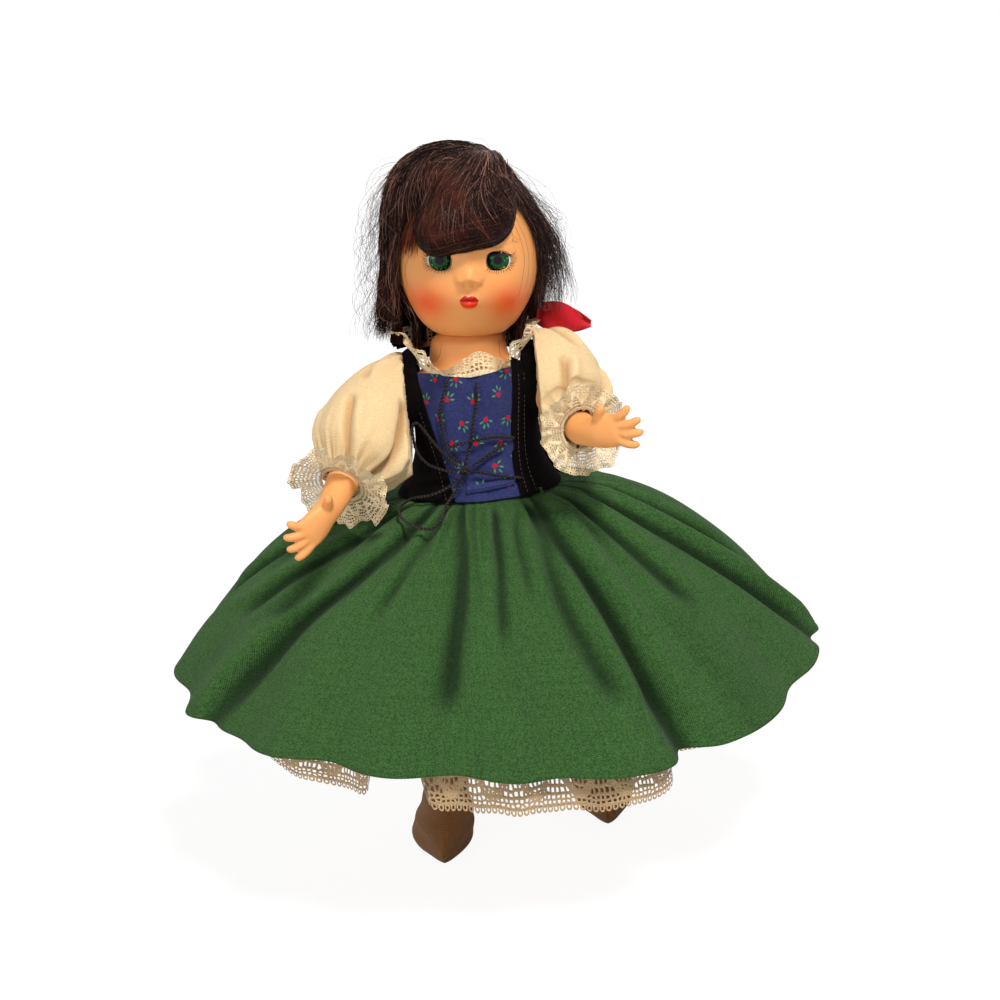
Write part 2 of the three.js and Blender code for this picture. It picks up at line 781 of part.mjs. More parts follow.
// Arms: centre line with half width and half height
const armPaths = {
  right: [
    [-18.6, -0.4, 135.2, 6.6, 6.6],
    [-22, -2.6, 133.4, 6.2, 6.2],
    [-27, -8.6, 129.4, 5.4, 5.4],
    [-32.6, -17, 123.9, 4.9, 4.9],
    [-36.8, -25.6, 119, 4.5, 4.5],
    [-39.8, -33.4, 115, 3.7, 3.7],
    [-42, -37.4, 113, 2.8, 4.1],
    [-44.4, -39.8, 110.8, 2.1, 4.6],
    [-46.6, -41.4, 109.2, 1.7, 4.3],
    [-47.4, -42, 108.6, 0.7, 3],
  ],
  left: [
    [18.6, -0.6, 135.3, 6.6, 6.6],
    [21.6, -4.2, 134.4, 6.2, 6.2],
    [24.6, -11.4, 132.2, 5.4, 5.4],
    [27, -20, 129.6, 4.9, 4.9],
    [28.6, -28, 128.4, 4.4, 4.4],
    [30.4, -34, 128.6, 3.7, 3.7],
    [32.6, -38.2, 129.4, 2.8, 4.1],
    [35.2, -40.6, 130.2, 2.1, 4.6],
    [37.4, -42, 130.8, 1.7, 4.3],
    [38.2, -42.6, 131, 0.7, 3],
  ],
};
// Fingers from root to tip, the thumb last
const fingerLines = {
  right: [
    [[-45.8, -41, 111.8], [-51, -43.4, 113.4]],
    [[-46.4, -41.4, 110], [-52.2, -43.8, 109.8]],
    [[-46.2, -41.2, 108.2], [-51.8, -43.2, 106.2]],
    [[-45.4, -40.6, 106.6], [-50, -42.2, 103.2]],
    [[-41, -37.6, 114.6], [-40, -41.2, 119.2]],
  ],
  left: [
    [[36.6, -41.6, 133.6], [40.4, -44, 137]],
    [[37.2, -42, 131.8], [43, -44.6, 133.6]],
    [[37.2, -42, 130], [43.6, -44.4, 130.2]],
    [[36.6, -41.6, 128.4], [42.4, -43.8, 126.6]],
    [[32.4, -38.4, 131.6], [33.6, -41.6, 137]],
  ],
};
const fingerR = 1.25;

function armBody(side, s) {
  const first = armPaths[side][0];
  const root = [0, 0.5, 2.4].map((x, i) => {
    const r = armRootR - [0.5, 0, 0][i];
    return Array.from({ length: 10 }, (_, j) => {
      const t = (2 * Math.PI * j) / 10;
      return [s * (shoulderX + gap + x), r * Math.cos(t), shoulderZ + r * Math.sin(t)];
    });
  });
  const joined = root[2].map((p) => [first[0], p[1] + first[1], p[2] + first[2] - shoulderZ]);
  const stub = solid(chain([...root, joined]));
  let arm = stub.add(solid(chain(ringsAlong(armPaths[side], 10))));
  fingerLines[side].forEach(([from, to], i) => {
    const thick = i === 4 ? 1.15 : 1;
    const steps = [-0.1, 0.3, 0.75, 1.02].map((t, k) => {
      const r = fingerR * thick * [1, 1.04, 0.98, 0.5][k];
      return [...from.map((c, n) => c + (to[n] - c) * t), r, r];
    });
    arm = arm.add(solid(chain(ringsAlong(steps, 5))));
  });
  const rootX = shoulderX + gap;
  return arm.subtract(s < 0 ? box(-rootX, 30, -30, 30, 110, 160) : box(-30, rootX, -30, 30, 110, 160));
}

// Puffed sleeves: centre line with half width and half height
const sleevePaths = {
  right: [
    [-16, 0.4, 137.2, 9, 9],
    [-19.4, -1.4, 136.6, 11.4, 11.6],
    [-24, -6, 133.4, 13.6, 14],
    [-29, -12.6, 128.8, 14.2, 15],
    [-33.4, -19, 124, 12.6, 13.2],
    [-36, -23.4, 120.6, 8.6, 8.6],
    [-36.9, -25.2, 119.2, 7, 7],
  ],
  left: [
    [16, 0.4, 136, 9.2, 10],
    [18.6, -1.2, 137.4, 11.2, 13.2],
    [21.8, -7, 138.4, 12.8, 14.4],
    [24.6, -14, 134.6, 13, 14.6],
    [26.6, -20.4, 130.4, 11.4, 12.4],
    [27.9, -25.2, 128.8, 8.4, 8.4],
    [28.4, -27.2, 128.4, 6.8, 6.8],
  ],
};
const sleeveT = 1;
const sleeveX = 18.4; // the sleeves stay outside the bodice

// Cuff lace: ring that stands out from the cuff along its direction
const cuffs = {
  right: [[-37.3, -26.4, 118.4], [-0.34, -0.8, -0.5], 14.2],
  left: [[28.8, -28.6, 128.4], [0.3, -0.95, 0.02], 12.4],
};
const cuffIn = 6.6;

[
  ["right", -1],
  ["left", 1],
].forEach(([side, s]) => {
  add(side + "_arm", armBody(side, s), skin, 0.45);
  const hookZ = shoulderZ;
  const hook = [
    [15.3, 0, hookZ],
    [13.4, 0, hookZ],
    [12.2, 1.3, hookZ + 0.9],
    [11.2, 0.2, hookZ + 2],
    [11.4, -1.1, hookZ + 1.2],
  ].map((p) => [s * p[0], p[1], p[2]]);
  add(side + "_arm_hook", tube(hook, 0.45, 6), steel, 0.35, 1);
  const outside = ringsAlong(sleevePaths[side], 14);
  const inside = ringsAlong(sleevePaths[side], 14, sleeveT).reverse();
  const cut = s < 0 ? box(-sleeveX, 40, -60, 60, 60, 220) : box(-40, sleeveX, -60, 60, 60, 220);
  add(side + "_sleeve", solid(chain([...outside, ...inside], true)).subtract(cut), ivory, 0.85);

  const [centre, direction, reach] = cuffs[side];
  const forward = new THREE.Vector3(...direction).normalize();
  const across = new THREE.Vector3().crossVectors(forward, new THREE.Vector3(0, 0, 1)).normalize();
  const rise = new THREE.Vector3().crossVectors(across, forward).normalize();
  const rings = Array.from({ length: 32 }, (_, j) => {
    const t = (2 * Math.PI * j) / 32;
    const wave = Math.sin(8 * t);
    const point = (r, along) => {
      const at = new THREE.Vector3(...centre);
      at.addScaledVector(across, r * Math.cos(t));
      at.addScaledVector(rise, r * Math.sin(t));
      at.addScaledVector(forward, along);
      return [at.x, at.y, at.z];
    };
    const lip = 1.6 + 1.3 * wave;
    return [point(cuffIn, 0), point(reach, lip), point(reach, lip + 0.7), point(cuffIn, 0.7)];
  });
  add(side + "_cuff_lace", chain(rings, true), laceCream, 0.85);
});

// Legs by height: share of the way from hip to foot, half width, front, back
const legRows = [
  [0, 1, 7.6, 16.6, 7],
  [1.2, 1, 8.9, 18, 8],
  [4, 1, 9.3, 18.2, 8.4],
  [7.5, 0.96, 8.8, 15.5, 8.3],
  [11, 0.9, 7.8, 11.5, 7.8],
  [15, 0.84, 6.9, 8.4, 7],
  [20, 0.78, 6.6, 7, 6.5],
  [30, 0.66, 6.9, 6.8, 7.3],
  [40, 0.53, 7.2, 7, 7.4],
  [50, 0.4, 7.2, 7.3, 7],
  [60, 0.27, 7.9, 8, 7.8],
  [72.5, 0.12, 8, 8, 8],
];
const footShift = { right: [-10.4, -6], left: [19.4, 10.5] };
const stockingT = 0.7;
const stockingTop = 51;

function legRing(side, s, z, inset) {
  const [share, w, front, back] = along(legRows, z);
  const [dx, dy] = footShift[side];
  const [cx, cy] = [s * hipX + dx * share, dy * share];
  return ring(14, z, w - inset, w - inset, front - inset, back - inset, cx, cy);
}

[
  ["right", -1],
  ["left", 1],
].forEach(([side, s]) => {
  const legInset = stockingT + gap;
  const shin = [1.1, 3, 5, 8, 11, 15, 20, 30, 40, stockingTop + 1];
  const rings = shin.map((z) => legRing(side, s, z, legInset));
  [57, 66, 72.5].forEach((z) => rings.push(legRing(side, s, z, 0)));
  [-34, -14, 6, 25, 44, 65, 86].forEach((up) => {
    const r = hipR * Math.cos(rad(up));
    rings.push(ring(14, hipZ + hipR * Math.sin(rad(up)), r, r, r, r, s * hipX, 0));
  });
  add(side + "_leg", chain(rings), skin, 0.45);
  const x = s * hipX;
  const seat = hipZ + hipR + 0.5;
  const hook = [
    [x, 0, seat],
    [x, 0, seat + 1.7],
    [x * 0.93, 0.8, seat + 3.2],
    [x * 0.84, 0.3, seat + 3.9],
  ];
  add(side + "_leg_hook", tube(hook, 0.45, 6), steel, 0.35, 1);
  const heights = [0, 1.2, 4, 7.5, 11, 15, 20, 30, 40, stockingTop];
  const outside = heights.map((z) => legRing(side, s, z, 0));
  const inside = [stockingT, 1.9, 4.4, 7.5, 11, 15, 20, 30, 40, stockingTop]
    .map((z) => legRing(side, s, z, stockingT))
    .reverse();
  add(side + "_stocking", chain([...outside, ...inside]), stockingTan, 0.95);
});

// Neck hook with the washer that holds it inside the head
const washerZ = neckZ + neckR + 1.2;
const washerR = 3.4;
const washer = new THREE.CylinderGeometry(washerR, washerR, 0.8, 16);
washer.rotateX(Math.PI / 2).translate(0, 0, washerZ);
add("neck_washer", solid(washer), steel, 0.4, 1);
const neckHook = [
  [0, 0, washerZ - 0.75],
  [0, 0, neckZ + 2],
  [0, -0.6, neckZ - 3],
  [0.6, -1.4, neckZ - 4.8],
  [0.9, -0.2, neckZ - 5.6],
];
add("neck_hook", tube(neckHook, 0.5, 10), steel, 0.35, 1);

// Ribbon tied into the hair below the left lock
const ribbonT = 0.9;
function strip(points, thick) {
  return chain(
    points.map(([x, y, low, high]) => [
      [x, y - thick / 2, low],
      [x, y + thick / 2, low],
      [x, y + thick / 2, high],
      [x, y - thick / 2, high],
    ]),
  );
}
add("ribbon_knot", lean(box(17.4, 20.2, 4.6, 8.8, 154, 158.6)), ribbonRed, 0.4);
const loopLine = [
  [20.6, 5.6, 154.8, 158],
  [23, 3.8, 153.8, 159],
  [26, 3.2, 153.6, 159.4],
  [28.4, 4.2, 154, 159.2],
];
const tailLine = [
  [20.6, 7.8, 154.8, 158],
  [24, 8.6, 153.8, 158.6],
  [29, 8.2, 153.4, 158.4],
  [33, 7.4, 154.4, 156.4],
];
add("ribbon_loop", lean(strip(loopLine, ribbonT)), ribbonRed, 0.4);
add("ribbon_tail", lean(strip(tailLine, ribbonT)), ribbonRed, 0.4);

// Lacing: cords on the front of the bodice, tied in a bow
const knot = [-3.8, -17.5, 116.5];
const knotR = 1.3;
const lacing = {
  lacing_upright_right: [
    [-6.2, -13.8, 141.8],
    [-8, -13.8, 137.4],
    [-9.2, -13.6, 132.7],
    [-9.1, -13.8, 128.1],
    [-8.6, -14.3, 124.5],
    [-7.4, -15.2, 120.8],
    [-5, -16.4, 118.8],
  ],
  lacing_upright_left: [
    [1.5, -14.8, 140.8],
    [1.3, -15.5, 136.4],
    [0.4, -15.7, 132.3],
    [-0.5, -15.9, 128.4],
    [-1.2, -15.9, 125],
    [-2.4, -16.2, 121.4],
    [-3.4, -16.8, 118.9],
  ],
  lacing_cross_upper: [
    [-7.1, -15, 123.1],
    [-4, -16.4, 124.1],
    [-1.1, -17, 124.8],
    [2.2, -16.3, 125],
    [6, -15.2, 124.9],
    [10.6, -13.4, 123.7],
  ],
  lacing_cross_lower: [
    [-1.5, -17.2, 117.7],
    [1.8, -16.4, 119.5],
    [4.6, -15.9, 120.9],
    [7.5, -15, 122.3],
  ],
  lacing_waist: [
    [-1.6, -17.3, 116.1],
    [1, -17.2, 115.6],
    [4.5, -16.8, 114.4],
    [8, -16, 113.4],
    [11.6, -14.8, 112.5],
  ],
  bow_loop_upper: [
    [-5.6, -17.2, 117.9],
    [-7.2, -16.7, 119.4],
    [-8.8, -16, 121.2],
    [-10.8, -14.8, 123.4],
    [-13.4, -13.2, 126.8],
    [-15.6, -12.2, 129.8],
    [-17, -11.8, 129.8],
    [-17.4, -12.2, 127],
    [-16.8, -13, 122.6],
    [-14.4, -14.2, 119],
    [-10.4, -15.9, 117.2],
    [-6.4, -17.3, 116.3],
  ],
  bow_loop_lower: [
    [-5.6, -17.3, 114.9],
    [-8.8, -17.3, 112.3],
    [-13.8, -16.4, 110.2],
    [-19.6, -14.6, 109.1],
    [-22.8, -18.6, 107.9],
    [-21.8, -24.2, 106.2],
    [-18, -28.2, 104.7],
    [-14, -29.6, 104.5],
    [-11.2, -27.2, 106],
    [-9.8, -21.5, 108.1],
    [-7, -18.8, 111],
    [-4.6, -18, 113.9],
  ],
};
Object.entries(lacing).forEach(([name, points]) => {
  add(name, cord(points, cordR), 0x0d0b0b, 0.7);
});
add("lacing_knot", ball(...knot, knotR, 10, 7), 0x0d0b0b, 0.7);

export default group;
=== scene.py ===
import bmesh
import bpy
import numpy as np
from functools import partial
from mathutils import Matrix, Vector


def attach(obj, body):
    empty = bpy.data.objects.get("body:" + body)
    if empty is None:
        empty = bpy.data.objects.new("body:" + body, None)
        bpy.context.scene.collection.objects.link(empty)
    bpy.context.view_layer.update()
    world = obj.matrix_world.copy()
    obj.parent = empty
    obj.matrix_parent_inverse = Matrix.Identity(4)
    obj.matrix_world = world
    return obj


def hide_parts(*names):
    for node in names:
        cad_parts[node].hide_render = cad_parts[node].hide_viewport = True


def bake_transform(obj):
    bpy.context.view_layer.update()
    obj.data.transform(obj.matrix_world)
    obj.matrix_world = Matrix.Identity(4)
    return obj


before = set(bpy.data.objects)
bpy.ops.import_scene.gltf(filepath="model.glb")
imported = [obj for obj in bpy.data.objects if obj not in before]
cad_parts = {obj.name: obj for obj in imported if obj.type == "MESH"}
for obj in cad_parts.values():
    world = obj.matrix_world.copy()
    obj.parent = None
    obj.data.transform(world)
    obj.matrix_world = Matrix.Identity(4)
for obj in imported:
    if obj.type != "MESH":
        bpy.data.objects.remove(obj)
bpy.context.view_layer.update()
print("frame loaded")

# Costume doll. Shapes are worked out in millimetres and put into meshes in metres.
# The doll faces -Y and its own right side is at -X.
neckZ = 146.0
headLean = 5.0  # degrees to its left, about the neck
bothSides = {"right": -1, "left": 1}  # the doll's own


def linear(r, g, b):
    # colour seen on a screen, 0 to 255, as the light that Blender works with
    c = np.array([r, g, b]) / 255
    c = np.where(c <= 0.04045, c / 12.92, ((c + 0.055) / 1.055) ** 2.4)
    return (float(c[0]), float(c[1]), float(c[2]), 1.0)


def unit(v):
    return v / np.maximum(np.linalg.norm(v, axis=-1, keepdims=True), 1e-9)


def ease(t):
    # smooth step from 0 to 1
    t = np.clip(t, 0, 1)
    return t * t * (3 - 2 * t)


def bell(t, u=0):
    # 1 in the middle, falling off on both sides, over one or two distances
    return np.exp(-(t**2) - u**2)


def xyz(x, y, z):
    return np.stack(np.broadcast_arrays(x, y, z), axis=-1)


def column(count, first=0.0, last=1.0):
    return np.linspace(first, last, count)[:, None]


def row(count, first=0.0, last=1.0):
    return np.linspace(first, last, count)[None, :]


def circle(count, first=0.0, last=2 * np.pi):
    # equal steps round a closed form
    return np.linspace(first, last, count, endpoint=False)[None, :]


def fromFront(turn):
    # turn in degrees, -180 to 180
    return (turn + 180) % 360 - 180


def runOf(line):
    # distance along a line at each of its points
    return np.concatenate([[0], np.cumsum(np.linalg.norm(np.diff(line, axis=0), axis=1))])


def along(rows, p):
    # cubic Hermite curve through rows that start with their position, slopes from the neighbours
    rows = np.array(rows, float)
    x, y = rows[:, 0], rows[:, 1:]
    n = len(x)
    lo, hi = np.maximum(np.arange(n) - 1, 0), np.minimum(np.arange(n) + 1, n - 1)
    slope = (y[hi] - y[lo]) / (x[hi] - x[lo])[:, None]
    p = np.clip(np.asarray(p, float), x[0], x[-1])
    i = np.clip(np.searchsorted(x, p, side="right") - 1, 0, n - 2)
    gap = (x[i + 1] - x[i])[..., None]
    t = (p - x[i])[..., None] / gap
    h1, h2, h3 = 2 * t**3 - 3 * t**2 + 1, t**3 - 2 * t**2 + t, t**3 - t**2
    return h1 * y[i] + (1 - h1) * y[i + 1] + h2 * gap * slope[i] + h3 * gap * slope[i + 1]


def curves(rows, p):
    return np.moveaxis(along(rows, p), -1, 0)


def waves(p, seed, lowest=1, count=6):
    # sum of sines of rising frequency and falling height, with phases from a seed: about -1 to 1
    r = np.random.default_rng(seed)
    total, weight = 0, 0
    for k in range(count):
        a = 1 / (k + 1) ** 0.7
        total = total + a * np.sin((lowest + k * r.uniform(0.7, 1.3)) * p + r.uniform(0, 6.28))
        weight += a * 0.7
    return total / weight


def pathThrough(points, count):
    # smooth line through given points, in equal steps of its length
    points = np.array(points, float)
    gaps = np.sqrt(np.linalg.norm(np.diff(points[:, :3], axis=0), axis=1))
    mark = np.concatenate([[0], np.cumsum(gaps)])
    fine = along(np.column_stack([mark, points]), np.linspace(0, mark[-1], 600))
    run = runOf(fine[:, :3])
    at = np.linspace(0, run[-1], count)
    return np.stack([np.interp(at, run, fine[:, k]) for k in range(fine.shape[1])], axis=1), run[-1]


def evenly(rows, count):
    # smooth curve through rows, in equal steps from row to row
    rows = np.array(rows, float)
    return along(np.column_stack([np.arange(len(rows)), rows]), np.linspace(0, len(rows) - 1, count))


def lean(p):
    # everything on the head is turned about the neck, round the line from back to front
    a = np.radians(headLean)
    x, z = p[..., 0], p[..., 2] - neckZ
    return xyz(x * np.cos(a) + z * np.sin(a), p[..., 1], neckZ + z * np.cos(a) - x * np.sin(a))


def buildMesh(name, points, faces, loopUv=None, attributes=None):
    # points in mm; faces are arrays of quads or triangles; loopUv has one row for each corner, in order
    mesh = bpy.data.meshes.new(name)
    points = np.asarray(points, float).reshape(-1, 3)
    faces = [np.asarray(f, np.int32) for f in faces if len(f)]
    corners = np.concatenate([f.ravel() for f in faces])
    sizes = np.concatenate([np.full(len(f), f.shape[1]) for f in faces])
    mesh.vertices.add(len(points))
    mesh.vertices.foreach_set("co", (points * 0.001).astype(np.float32).ravel())
    mesh.loops.add(len(corners))
    mesh.loops.foreach_set("vertex_index", corners)
    mesh.polygons.add(len(sizes))
    mesh.polygons.foreach_set("loop_start", (np.cumsum(sizes) - sizes).astype(np.int32))
    mesh.update(calc_edges=True)
    if loopUv is not None:
        layer = mesh.uv_layers.new(name="UVMap")
        layer.uv.foreach_set("vector", np.asarray(loopUv, np.float32).ravel())
    for label, values in (attributes or {}).items():
        made = mesh.attributes.new(label, "FLOAT", "POINT")
        made.data.foreach_set("value", np.asarray(values, np.float32).ravel())
    mesh.polygons.foreach_set("use_smooth", np.ones(len(sizes), bool))
    mesh.validate()
    piece = bpy.data.objects.new(name, mesh)
    bpy.context.scene.collection.objects.link(piece)
    return piece


def gridFaces(rows, cols, closed, keep=None):
    # quads between neighbouring points of a grid; closed joins the last column to the first
    i = np.arange(rows - 1)[:, None]
    j = np.arange(cols if closed else cols - 1)[None, :]
    k = (j + 1) % cols
    quads = np.stack([i * cols + j, i * cols + k, (i + 1) * cols + k, (i + 1) * cols + j], axis=-1)
    cell = np.stack([i + 0 * j, 0 * i + j], axis=-1)
    quads, cell = quads.reshape(-1, 4), cell.reshape(-1, 2)
    if keep is not None:
        quads, cell = quads[keep.ravel()], cell[keep.ravel()]
    return quads, cell


def sheet(name, points, uv=None, closed=False, flip=False, keep=None, attributes=None, ends=False):
    # surface through a grid of points; uv in mm, one column more than a round grid; ends closes both ends
    rows, cols = points.shape[:2]
    quads, cell = gridFaces(rows, cols, closed, keep)
    loopUv = None
    if uv is not None:
        i, j = cell[:, 0], cell[:, 1]
        loopUv = np.stack([uv[i, j], uv[i, j + 1], uv[i + 1, j + 1], uv[i + 1, j]], axis=1)
    if flip:
        quads = quads[:, ::-1]
        if loopUv is not None:
            loopUv = loopUv[:, ::-1]
    faces, flat = [quads], points.reshape(-1, 3)
    if ends:
        first, last = np.arange(cols), (rows - 1) * cols + np.arange(cols)
        near, far = len(flat), len(flat) + 1
        flat = np.vstack([flat, points[0].mean(0), points[-1].mean(0)])
        nearCap = np.stack([np.full(cols, near), np.roll(first, -1), first], axis=1)
        farCap = np.stack([np.full(cols, far), last, np.roll(last, -1)], axis=1)
        if flip:
            nearCap, farCap = nearCap[:, ::-1], farCap[:, ::-1]
        faces += [nearCap, farCap]
        if loopUv is not None:
            extra = np.zeros((len(nearCap) + len(farCap), 3, 2))
            loopUv = np.concatenate([loopUv.reshape(-1, 2), extra.reshape(-1, 2)])
    return buildMesh(name, flat, faces, loopUv, attributes)


def uvGrid(u, v):
    # UV in mm across and down a sheet
    return np.stack(np.broadcast_arrays(u, v), axis=-1).astype(float)


def thicken(piece, thickness, offset=-1.0):
    # wall in mm, behind the surface or with offset 0 on both sides of it
    made = piece.modifiers.new("Thickness", "SOLIDIFY")
    made.thickness, made.offset, made.use_even_offset = thickness * 0.001, offset, False


def tubeAlong(name, line, radius, sides, twist=0.0, relief=0.0):
    # round section carried along a line; twist turns over its length make the raised strands of a cord
    forward = unit(np.gradient(line, axis=0))
    side = unit(np.cross(forward, np.array([0.0, 1.0, 0.0])))
    up = np.cross(side, forward)
    a = circle(sides)
    s = np.linspace(0, 1, len(line))[:, None]
    radius = np.asarray(radius, float)
    radius = radius[:, None] if radius.ndim else radius
    bulge = 1 + relief * (np.abs(np.cos(a + twist * np.pi * s)) - 1)
    r = (radius * bulge)[..., None]
    points = line[:, None] + r * (np.cos(a)[..., None] * side[:, None] + np.sin(a)[..., None] * up[:, None])
    return sheet(name, points, uvGrid(row(sides + 1), runOf(line)[:, None]), closed=True, ends=True)


def strands(name, lines, radius, shade, centre, tip=0.35):
    # three-sided hairs: lines is (hairs, steps, 3); each thins to its tip and keeps one shade in its UV
    count, steps = lines.shape[:2]
    forward = unit(np.gradient(lines, axis=1))
    side = unit(np.cross(forward, lines - np.asarray(centre, float)))
    up = np.cross(side, forward)
    s = np.linspace(0, 1, steps)
    r = np.asarray(radius, float)[:, None] * (1 - (1 - tip) * s**2)[None, :]
    r[:, -1] *= 0.2
    a = np.arange(3) * 2 * np.pi / 3
    points = lines[:, :, None] + r[:, :, None, None] * (
        np.cos(a)[None, None, :, None] * side[:, :, None] + np.sin(a)[None, None, :, None] * up[:, :, None]
    )
    h = np.arange(count)[:, None, None] * steps * 3
    k = np.arange(steps - 1)[None, :, None] * 3
    j = np.arange(3)[None, None, :]
    n = (j + 1) % 3
    quads = np.stack(np.broadcast_arrays(h + k + j, h + k + n, h + k + 3 + n, h + k + 3 + j),
                     axis=-1).reshape(-1, 4)
    base = np.arange(count) * steps * 3
    end = base + (steps - 1) * 3
    caps = np.concatenate([np.stack([base + 2, base + 1, base], 1), np.stack([end, end + 1, end + 2], 1)])
    u = np.repeat(shade, (steps - 1) * 3)
    v0 = np.tile(np.repeat(s[:-1], 3), count)
    v1 = np.tile(np.repeat(s[1:], 3), count)
    quadUv = np.stack([np.stack([u, v], 1) for v in (v0, v0, v1, v1)], axis=1)
    rootUv, endUv = (np.repeat(np.stack([shade, shade * 0 + v], 1), 3, axis=0) for v in (0, 1))
    loopUv = np.concatenate([quadUv.reshape(-1, 2), rootUv, endUv])
    return buildMesh(name, points, [quads, caps], loopUv)


def smoothCopy(name, node, angle=45):
    # a CAD piece merged into one mesh and shaded smooth up to an angle
    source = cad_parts[node]
    piece = bpy.data.objects.new(name, source.data.copy())
    bpy.context.scene.collection.objects.link(piece)
    work = bmesh.new()
    work.from_mesh(piece.data)
    bmesh.ops.remove_doubles(work, verts=work.verts, dist=2e-6)
    work.to_mesh(piece.data)
    work.free()
    piece.data.polygons.foreach_set("use_smooth", np.ones(len(piece.data.polygons), bool))
    piece.data.set_sharp_from_angle(angle=np.radians(angle))
    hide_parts(node)
    return piece


def link(socket, value):
    # another socket is joined to it, a plain value is set on it
    if isinstance(value, bpy.types.NodeSocket):
        value.id_data.links.new(value, socket)
    else:
        socket.default_value = value


def fill(node, **inputs):
    for key, value in inputs.items():
        link(node.inputs[key.replace("_", " ")], value)
    return node


def put(tree, kind, settings=None, **inputs):
    node = tree.nodes.new("ShaderNode" + kind)
    for key, value in (settings or {}).items():
        setattr(node, key, value)
    return fill(node, **inputs)


def calc(operation, *values):
    # arithmetic, in the tree that the first socket among its values belongs to
    tree = next(value.id_data for value in values if isinstance(value, bpy.types.NodeSocket))
    node = put(tree, "Math", {"operation": operation})
    for socket, value in zip(node.inputs, values):
        link(socket, value)
    return node.outputs[0]


plus, minus, times, divided, timesPlus = (
    partial(calc, name) for name in ("ADD", "SUBTRACT", "MULTIPLY", "DIVIDE", "MULTIPLY_ADD"))
larger, smaller, below, absolute, modulo = (
    partial(calc, name) for name in ("MAXIMUM", "MINIMUM", "LESS_THAN", "ABSOLUTE", "FLOORED_MODULO"))
whole, fraction, sine, cosine, root = (
    partial(calc, name) for name in ("FLOOR", "FRACT", "SINE", "COSINE", "SQRT"))


def mixed(factor, a, b):
    # colour from a to b
    node = put(factor.id_data, "Mix", {"data_type": "RGBA"})
    for at, value in ((0, factor), (6, a), (7, b)):
        link(node.inputs[at], value)
    return node.outputs[2]


def tinted(factor, dark, light):
    # the same from screen colours
    return mixed(factor, linear(*dark), linear(*light))


def step(value, low, high, toLow=0.0, toHigh=1.0):
    # smooth step between two limits
    node = put(value.id_data, "MapRange", {"interpolation_type": "SMOOTHSTEP"}, Value=value)
    return fill(node, From_Min=low, From_Max=high, To_Min=toLow, To_Max=toHigh).outputs[0]


def noise(vector, scale, detail=3.0, roughness=0.5):
    node = put(vector.id_data, "TexNoise", Vector=vector, Scale=scale, Detail=detail, Roughness=roughness)
    return node.outputs[0]


def whiteNoise(socket, value, dimensions):
    node = put(value.id_data, "TexWhiteNoise", {"noise_dimensions": dimensions})
    link(node.inputs[socket], value)
    return node.outputs["Value"]


def edges(vector, scale, randomness):
    # distance to the nearest edge between the cells of a flat pattern
    settings = {"feature": "DISTANCE_TO_EDGE", "voronoi_dimensions": "2D"}
    cells = put(vector.id_data, "TexVoronoi", settings, Vector=vector, Scale=scale, Randomness=randomness)
    return cells.outputs["Distance"]


def apart(vector):
    return put(vector.id_data, "SeparateXYZ", Vector=vector).outputs[:2]


def together(x, y):
    return put(x.id_data, "CombineXYZ", X=x, Y=y).outputs[0]


def stretched(vector, scale):
    return put(vector.id_data, "Mapping", Vector=vector, Scale=scale).outputs[0]


def group(name, outputs, **inputs):
    # shared node group that takes a vector and numbers
    tree = bpy.data.node_groups.new(name, "ShaderNodeTree")
    tree.interface.new_socket(name="Vector", in_out="INPUT", socket_type="NodeSocketVector")
    for label, value in inputs.items():
        tree.interface.new_socket(name=label, in_out="INPUT",
                                  socket_type="NodeSocketFloat").default_value = value
    for label in outputs:
        tree.interface.new_socket(name=label, in_out="OUTPUT", socket_type="NodeSocketFloat")
    return tree, tree.nodes.new("NodeGroupInput").outputs, tree.nodes.new("NodeGroupOutput")


def use(shared, vector, **inputs):
    node = put(vector.id_data, "Group", {"node_tree": shared})
    return fill(node, Vector=vector, **inputs).outputs


def plainWeave():
    # over and under threads on a UV in mm: the thread on top changes from cell to cell
    tree, given, out = group("plainWeave", ["Height", "Thread", "Cell"], Pitch=0.5)
    x, y = (divided(value, given["Pitch"]) for value in apart(given["Vector"]))
    i, j = whole(x), whole(y)
    a, b = (cosine(times(minus(minus(value, cell), 0.5), 3.0)) for value, cell in ((x, i), (y, j)))
    odd = modulo(plus(i, j), 2.0)
    even = minus(1.0, odd)
    over, under = times(a, timesPlus(b, 0.4, 0.6)), times(b, timesPlus(a, 0.4, 0.6))
    thread = plus(times(i, even), times(plus(j, 500.0), odd))
    fill(out, Height=plus(times(over, even), times(under, odd)), Thread=whiteNoise("W", thread, "1D"),
         Cell=whiteNoise("Vector", together(i, j), "2D"))
    return tree


